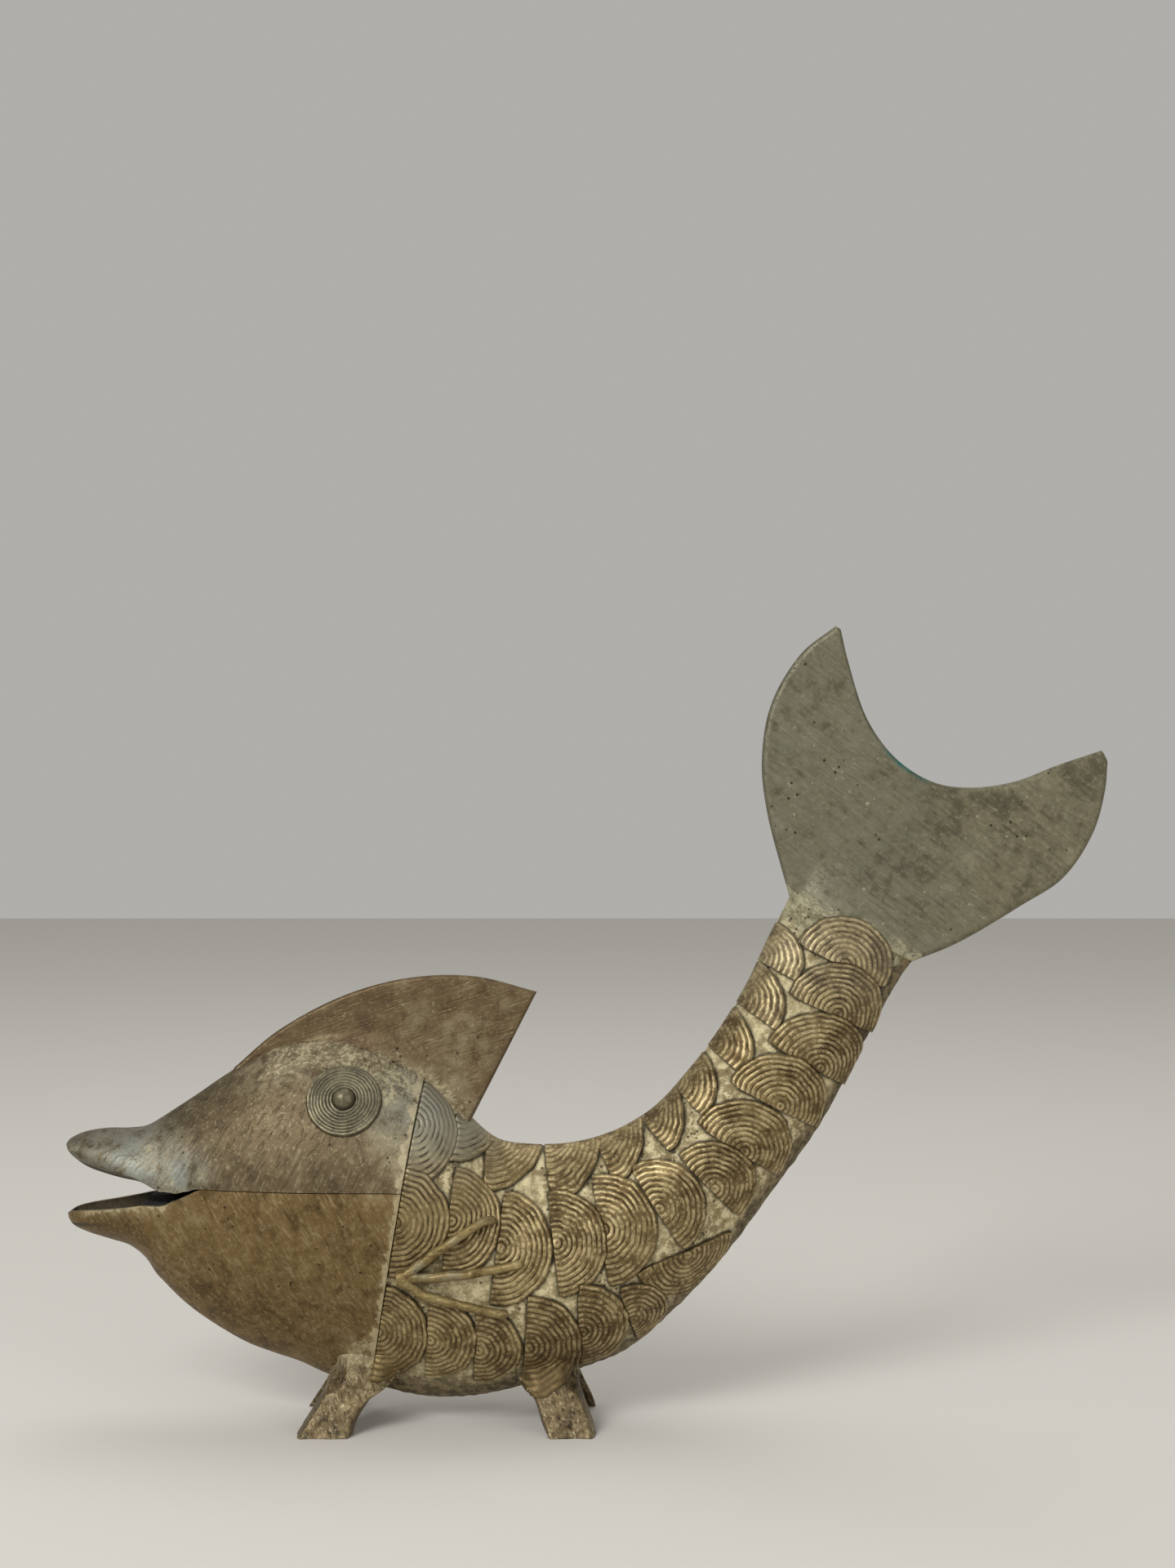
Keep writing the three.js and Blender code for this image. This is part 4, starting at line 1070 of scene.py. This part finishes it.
# Pectoral fins
def rod_mesh(path, radii):
    """Points and faces of a round rod along a path, with a radius at each point"""
    ahead = np.gradient(path, axis=0)
    ahead /= np.linalg.norm(ahead, axis=1, keepdims=True)
    up = np.cross(ahead, (0, 1, 0))
    up /= np.linalg.norm(up, axis=1, keepdims=True)
    side = np.cross(ahead, up)
    angles = np.linspace(0, 2 * np.pi, rod_sides, endpoint=False)
    circle = np.cos(angles)[:, None, None] * up + np.sin(angles)[:, None, None] * side
    return tube((path[None] + circle * radii[:, None]).transpose(1, 0, 2))


def pectoral_fins():
    """Three rods on each side that fan out from one root and lie on the scales"""
    lift = scale_relief + 2 * clearance + rod_thickness / 2
    points, faces = [], []
    for number, rod in enumerate(rods):
        flat = Line([rod_root] + rod).spaced(60)
        spine = []
        for spot in flat:
            station, turn = place_at(spot)
            foot, _, _, normal = skin_frame(np.array(station), np.array(turn), scale_relief)
            spine.append(foot + normal * lift)
        spine = np.array(spine)
        spine += 0.25 * np.stack([ripple(spine, 9, 20 + 3 * number + k) for k in range(3)], -1)
        share = np.linspace(0, 1, len(spine))
        radii = rod_thickness / 2 * (1.32 - 0.2 * share) * (1 + 0.07 * ripple(spine, 4, 30 + number))
        radii *= np.sqrt(1 - np.clip((share - 0.965) / 0.036, 0, 1) ** 2)
        radii *= 1 + 0.5 * np.exp(-(share / 0.09) ** 2)
        more, sewn = rod_mesh(spine, np.maximum(radii, 0.05))
        start = sum(len(p) for p in points)
        points.append(more)
        faces += [[i + start for i in face] for face in sewn]
    points = np.vstack(points)
    dust_and_painted_light = 0.4 * smoothstep(ripple(points, 12, 40), 0.1, 0.9)
    pair("pectoral_rods", points, faces, "fin", "pectoral_fin", attributes={"dust_and_painted_light": dust_and_painted_light, "sheen": dust_and_painted_light},
         finish=rod_finish)


# Eyes
def thread_profile(share):
    """How deep a thread's surface lies below its top, from 0 to 1, over its width from 0 to 1"""
    across = np.abs(2 * (share % 1) - 1)
    return 1 - np.sqrt(np.maximum(0, 1 - (0.97 * across) ** 2))


def eyes():
    """A disc of coiled thread with a plain rim and a domed boss"""
    station, turn = place_at(eye_place)
    _, along, _, normal = skin_frame(np.array(station), np.array(turn))
    along /= np.linalg.norm(along)
    across = np.cross(normal, along)
    angles = np.linspace(0, 2 * np.pi, eye_sides, endpoint=False)
    ways = np.cos(angles)[:, None] * along + np.sin(angles)[:, None] * across
    on_boss = np.linspace(0.15, boss_radius, 16)
    radii = np.concatenate([on_boss, np.linspace(boss_radius + 0.12, eye_radius, 90)])
    where, turns = walk(station, turn, ways, np.ones(len(ways)), radii)
    points, _, _, normals = skin_frame(where, turns)
    rings = radii[:, None] + 0 * where
    threads_end = eye_radius - eye_rim
    pitch = (threads_end - boss_radius) / eye_threads
    wobble = 0.12 * ripple(points.reshape(-1, 3), 7, 50).reshape(rings.shape)
    groove = thread_profile((rings + wobble - boss_radius) / pitch)
    groove = np.where(rings > threads_end, 0.25 * thread_profile((rings - threads_end) / eye_rim), groove)
    worn = smoothstep(ripple(points.reshape(-1, 3), 6, 51), -0.6, 0.4).reshape(rings.shape)
    groove = groove * (0.6 + 0.4 * worn)
    lift = eye_relief - 0.4 * groove
    lift -= 1.4 * smoothstep(rings, eye_radius - 0.7, eye_radius + 0.1)
    boss = eye_relief + boss_height * np.sqrt(np.maximum(0, 1 - (rings / boss_radius) ** 2)) * 0.9
    lift = np.where(rings < boss_radius, boss, lift)
    groove = np.where(rings < boss_radius, 0, groove)
    # A dark ring at the boss's foot: painted shade in the crease
    groove = np.where(np.abs(rings - boss_radius) < 0.25, 1, groove)
    top = points + normals * lift[..., None]
    foot = points[-1] - normals[-1] * 0.8
    centre = np.array([top[0].mean(0)])
    everything = np.vstack([top.reshape(-1, 3), foot, centre])
    faces = grid_faces(len(radii) + 1, eye_sides, True).tolist()
    middle = len(everything) - 1
    faces += [[i, (i + 1) % eye_sides, middle] for i in range(eye_sides)]
    faces.append(list(range(middle - eye_sides, middle)))
    groove = np.concatenate([groove.ravel(), np.zeros(eye_sides + 1)])
    attributes = {"groove": groove, "sheen": 0 * groove + 0.15}
    pair("eye_coil", everything, faces, "scale", "eye", attributes=attributes, finish=eye_finish)


# Scales
def covered(points, outline):
    """How far points lie inside an outline in the side view, in millimetres: negative outside"""
    flat = points[:, [0, 2]]
    a = outline
    b = np.roll(outline, -1, axis=0)
    straddles = (a[:, 1] > flat[:, None, 1]) != (b[:, 1] > flat[:, None, 1])
    rise = np.where(b[:, 1] == a[:, 1], 1e-9, b[:, 1] - a[:, 1])
    crossing = (b[:, 0] - a[:, 0]) * (flat[:, None, 1] - a[:, 1]) / rise + a[:, 0]
    inside = (straddles & (flat[:, None, 0] < crossing)).sum(-1) % 2 == 1
    away = far_from(flat, np.vstack([a, a[:1]]))
    return np.where(inside, away, -away)


# Outlines in the side view of the scales laid so far
laid = []


def rays_over_leg(centre, opening, swings, reach):
    """A scale's rays laid out in the side view: points, normals, and whether they lie on the fish"""
    x = centre[0] + reach * (np.cos(swings) * opening[0] - np.sin(swings) * opening[2])
    z = centre[2] + reach * (np.cos(swings) * opening[2] + np.sin(swings) * opening[0])
    points, inside = seen_from_side(x, z, scale_relief)
    nudged = [seen_from_side(x + dx, z + dz, scale_relief)[0] for dx, dz in ((0.3, 0), (0, 0.3))]
    normals = np.cross(nudged[1] - points, nudged[0] - points)
    normals *= -np.sign(normals[..., 1:2]) / np.linalg.norm(normals, axis=-1, keepdims=True)
    return points, normals, np.minimum.accumulate(inside, axis=0)


def cut_rays(centre, normal, points, normals, radii, inside, ahead_of_edge, turns):
    """Cuts each ray of a scale off where it leaves the scale: at the straight edge, or at the middle plane
    where turns are given. Gives the points from the centre on, their normals and radii, and how many
    each ray has."""
    rays = points.shape[1]
    kept = np.array([len(radii) if inside[:, j].all() else np.argmin(inside[:, j]) for j in range(rays)])
    counts = np.minimum(kept, len(radii) - 1)
    spots, ups, rings = [centre], [normal], [0.0]
    for j in range(rays):
        for i in range(1, counts[j] + 1):
            spot, up, reach = points[i, j], normals[i, j], radii[i]
            if i == kept[j]:
                share = 0.5
                here, there = ahead_of_edge[i - 1, j], ahead_of_edge[i, j]
                if there > 0 and turns is not None:
                    here, there = (min(turns[k, j], np.pi - turns[k, j]) for k in (i - 1, i))
                if there <= 0:
                    share = here / (here - there)
                spot = points[i - 1, j] + (spot - points[i - 1, j]) * share
                up = normals[i - 1, j]
                reach = radii[i - 1] + (reach - radii[i - 1]) * share
            spots.append(spot)
            ups.append(up)
            rings.append(reach)
    return np.array(spots), np.array(ups), np.array(rings), counts


def ray_faces(counts, most):
    """Faces between a scale's neighbouring rays, and the number of each ray's last point"""
    rays = len(counts)
    starts = np.concatenate([[0], np.cumsum(counts)])[:-1] + 1

    def number_of(j, i):
        return np.where(i == 0, 0, starts[j] + np.minimum(i, counts[j]) - 1)

    j, i = np.repeat(np.arange(rays), most), np.tile(np.arange(most), rays)
    after = (j + 1) % rays
    corners = [number_of(j, i), number_of(j, i + 1), number_of(after, i + 1), number_of(after, i)]
    faces = [list(dict.fromkeys(face)) for face in np.stack(corners, -1).tolist()]
    return [face for face in faces if len(face) > 2], number_of(np.arange(rays), counts).tolist()


def under_others(spots, centre):
    """1 where a scale's points lie under the scales laid before it, and 0 beside them"""
    hidden = np.zeros(len(spots))
    for outline in laid:
        if np.abs(outline.mean(0) - centre[[0, 2]]).max() <= neighbour_reach:
            hidden = np.maximum(hidden, smoothstep(covered(spots, outline), -0.25, 0.45))
    return hidden


def scale_marks(spots, groove, over_leg, seed):
    """The grooves, the dust and the grey sheen that a scale's points hold for its finish, and painted shade
    low over a leg
    """
    x, z = spots[:, 0], spots[:, 2]
    groove = groove + 0.1 * (1 - smoothstep(x, -52, -20)) * smoothstep(z, 35, 55)
    # Over a leg, darker and with dimmer tops towards the bottom: painted shade
    if over_leg:
        groove = groove + 0.28 * (1 - smoothstep(z, 16, 34))
    dust_and_painted_light = 0.4 * smoothstep(ripple(spots, 16, seed + 4), 0.2, 0.9)
    greyer = 0.2 * smoothstep(z + 6 * ripple(spots, 20, seed + 5), 135, 175)
    sheen = np.maximum(greyer, patches(spots, [(-57, 114, 17, 1), (-46, 108, 12, 0.8)]))
    return {"groove": groove, "dust_and_painted_light": dust_and_painted_light, "sheen": sheen}


def coil(name, node, station, depth, radius, heading, stretch, on_ridge, seed, over_leg=False):
    """A half disc of coiled thread, laid on the body under those laid before it.
    One that lies over a leg's root is laid out in the side view."""
    turn = float(turn_at(station, depth))
    centre, _, _, normal = skin_frame(np.array(station), np.array(turn), scale_relief)
    opening = np.array([math.cos(math.radians(heading)), 0, math.sin(math.radians(heading))])
    front = np.linspace(-np.pi / 2, np.pi / 2, arc_rays)
    behind = np.pi + np.arctan(np.linspace(-1.15, 1.15, edge_rays) * radius / edge_setback)
    swings = np.concatenate([front, behind])
    rays = len(swings)
    rim = np.stack([np.cos(swings), np.sin(swings), 0 * swings], -1) * radius
    uneven = 1 + 0.022 * ripple(rim, 9, seed + 6) + 0.008 * ripple(rim, 3.5, seed + 7)
    threads = round(radius / thread_pitch)
    pitch = radius / threads
    radii = np.linspace(0, radius, threads * rings_per_thread + 1)
    turns = None
    if over_leg:
        points, normals, inside = rays_over_leg(centre, opening, swings, radii[:, None] * uneven)
    else:
        ahead = opening - normal * (opening @ normal)
        ahead /= np.linalg.norm(ahead)
        across = np.cross(normal, ahead)
        ways = np.cos(swings)[:, None] * ahead + (stretch * np.sin(swings))[:, None] * across
        lengths = np.linalg.norm(ways, axis=1)
        where, turns = walk(station, turn, ways / lengths[:, None], lengths * uneven, radii, scale_relief)
        points, _, _, normals = skin_frame(where, turns, scale_relief)
        inside = on_ridge | ((turns > 0) & (turns < np.pi))
    ahead_of_edge = (points - centre) @ opening + edge_setback
    spots, ups, rings, counts = cut_rays(centre, normal, points, normals, radii, inside & (ahead_of_edge > 0),
                                         ahead_of_edge, None if on_ridge else turns)
    side, height = np.abs(spots[:, 1]), spots[:, 2]
    wobble = 0.2 * ripple(spots, 8, seed) + 0.08 * ripple(spots, 2.5, seed + 1)
    groove = thread_profile((rings + wobble * smoothstep(rings, 0, 4)) / pitch)
    wear = 0.55 + 0.45 * smoothstep(ripple(spots, 9, seed + 2), -0.7, 0.2)
    if on_ridge:
        wear *= 0.45 + 0.55 * smoothstep(side, 1.5, 9)
    if over_leg:
        wear *= 0.4 + 0.6 * smoothstep(height, 14, 30)
    lift = scale_relief - thread_depth * groove * wear + 0.1 * ripple(spots, 12, seed + 3)
    lift -= 0.35 * smoothstep(rings, radius - pitch * 0.5, radius)
    if over_leg:
        lift -= 0.85 * (1 - smoothstep(height, 14, 26))
    else:
        lift *= 0.62 + 0.38 * smoothstep(side, 2, 9)
    lift -= 1.3 * (1 - smoothstep(behind_gill(spots), -0.1, 0.6))
    hidden = under_others(spots, centre)
    lift = lift * (1 - hidden) + 0.1 * hidden
    faces, rim = ray_faces(counts, len(radii) - 1)
    start = len(spots)
    if over_leg:
        foot = spots + ups * np.minimum(-0.6, lift - 0.8)[:, None]
        faces += [[start + k for k in reversed(face)] for face in faces]
        below = rim
    else:
        inwards = centre - spots[rim]
        inwards /= np.maximum(1, np.linalg.norm(inwards, axis=1, keepdims=True))
        foot = spots[rim] - ups[rim] * 0.5 + inwards * 0.5
        faces.append(list(range(start, start + rays)))
        below = range(rays)
    for k in range(rays):
        m = (k + 1) % rays
        faces.append([rim[k], rim[m], start + below[m], start + below[k]])
    laid.append(spots[rim][:, [0, 2]])
    # The side walls get a groove value of 0.9, which paints them dark: painted shade under the free edges
    attributes = {
        key: np.concatenate([values, np.full(len(foot), 0.9 if key == "groove" else 0.0)])
        for key, values in scale_marks(spots, groove * wear, over_leg, seed).items()}
    points = np.vstack([spots + ups * lift[:, None], foot])
    make = piece if on_ridge else pair
    make(name, points, faces, "scale", node, attributes=attributes, sharp=60)


def inside_line(station, depth):
    """The point of the middle plane at a station, at a depth below the back given as a share"""
    high, _, low, _ = section(np.array(float(station)))
    return high + (low - high) * depth


def lay_row(row, name, node, ridge_from, seed):
    """Lays a row of scales from head to tail"""
    station, depth_before = float(gill), row[0][1]
    for i, (pitch, depth, radius, heading, stretch) in enumerate(row):
        before = inside_line(station, depth_before)
        low, high = station, min(station + 4, last)
        for _ in range(30):
            middle = (low + high) / 2
            if np.linalg.norm(inside_line(middle, depth) - before) < pitch:
                low = middle
            else:
                high = middle
        station, depth_before = low, depth
        replaced = f"{node}_{i + 1}" if (node, i) != ("belly_scale", 6) else None
        coil(f"{name}_{i + 1}", replaced, station, depth, radius, heading, stretch, i >= ridge_from,
             seed + 10 * i, over_leg=node == "belly_scale" and i in over_legs)


# Studio, in metres: each lamp's name, place, size and power, then the camera, which looks level
lamps = [
    ("key", (-0.9, -1.5, 1.25), 0.9, 27),
    ("fill", (1.3, -1.5, 0.5), 1.4, 8),
    ("top", (0.1, 0.5, 1.6), 1.0, 5),
]
lamps_aim = (0, 0, 0.12)
sky_strength = 0.62
floor_reach = 3.0
camera_distance = 0.805
camera_height = 0.232
focal_length = 50.625


def studio():
    """A pale floor under a pale sky, three soft lamps and the camera"""
    scene = bpy.context.scene
    scene.view_settings.view_transform = "Standard"
    floor_mesh = bpy.data.meshes.new("floor")
    corners = [(floor_reach * x, floor_reach * y, 0) for x, y in ((-1, -1), (1, -1), (1, 1), (-1, 1))]
    floor_mesh.from_pydata(corners, [], [(0, 1, 2, 3)])
    floor = bpy.data.objects.new("floor", floor_mesh)
    scene.collection.objects.link(floor)
    shader = Shader("floor_paper")
    paper = shader.noise(shader.place(), 40, 2.0)
    colour = shader.mix(paper * 0.1, linear("d9d6d0"), linear("cfcbc4"))
    floor_mesh.materials.append(shader.surface(colour, 0.85 + paper * 0.05, 0.0, paper, 0.1))
    world = bpy.data.worlds.new("studio")
    scene.world = world
    world.use_nodes = True
    sky = world.node_tree.nodes["Background"]
    sky.inputs["Color"].default_value = linear("dad8d4")
    sky.inputs["Strength"].default_value = sky_strength
    for name, place, size, power in lamps:
        light = bpy.data.lights.new(name, "AREA")
        light.energy = power
        light.size = size
        lamp = bpy.data.objects.new(name, light)
        lamp.location = place
        lamp.rotation_euler = (Vector(lamps_aim) - Vector(place)).to_track_quat("-Z", "Y").to_euler()
        scene.collection.objects.link(lamp)
    camera = bpy.data.cameras.new("camera")
    camera.lens = focal_length
    camera.sensor_width = 36
    viewer = bpy.data.objects.new("camera", camera)
    viewer.location = (shift * MM, -camera_distance, camera_height)
    viewer.rotation_euler = (math.radians(90), 0, 0)
    scene.collection.objects.link(viewer)
    scene.camera = viewer


head()
dorsal_fin()
tail_fin()
leg("front_foot", front_leg, "leg_front")
leg("rear_foot", rear_leg, "leg_rear")
eyes()
pectoral_fins()
lay_row(belly_row, "belly_coil", "belly_scale", len(belly_row), 1000)
lay_row(flank_row, "flank_coil", "flank_scale", len(flank_row), 2000)
lay_row(back_row, "back_coil", "back_scale", len(back_row) - shared_back_scales, 3000)
body()
studio()
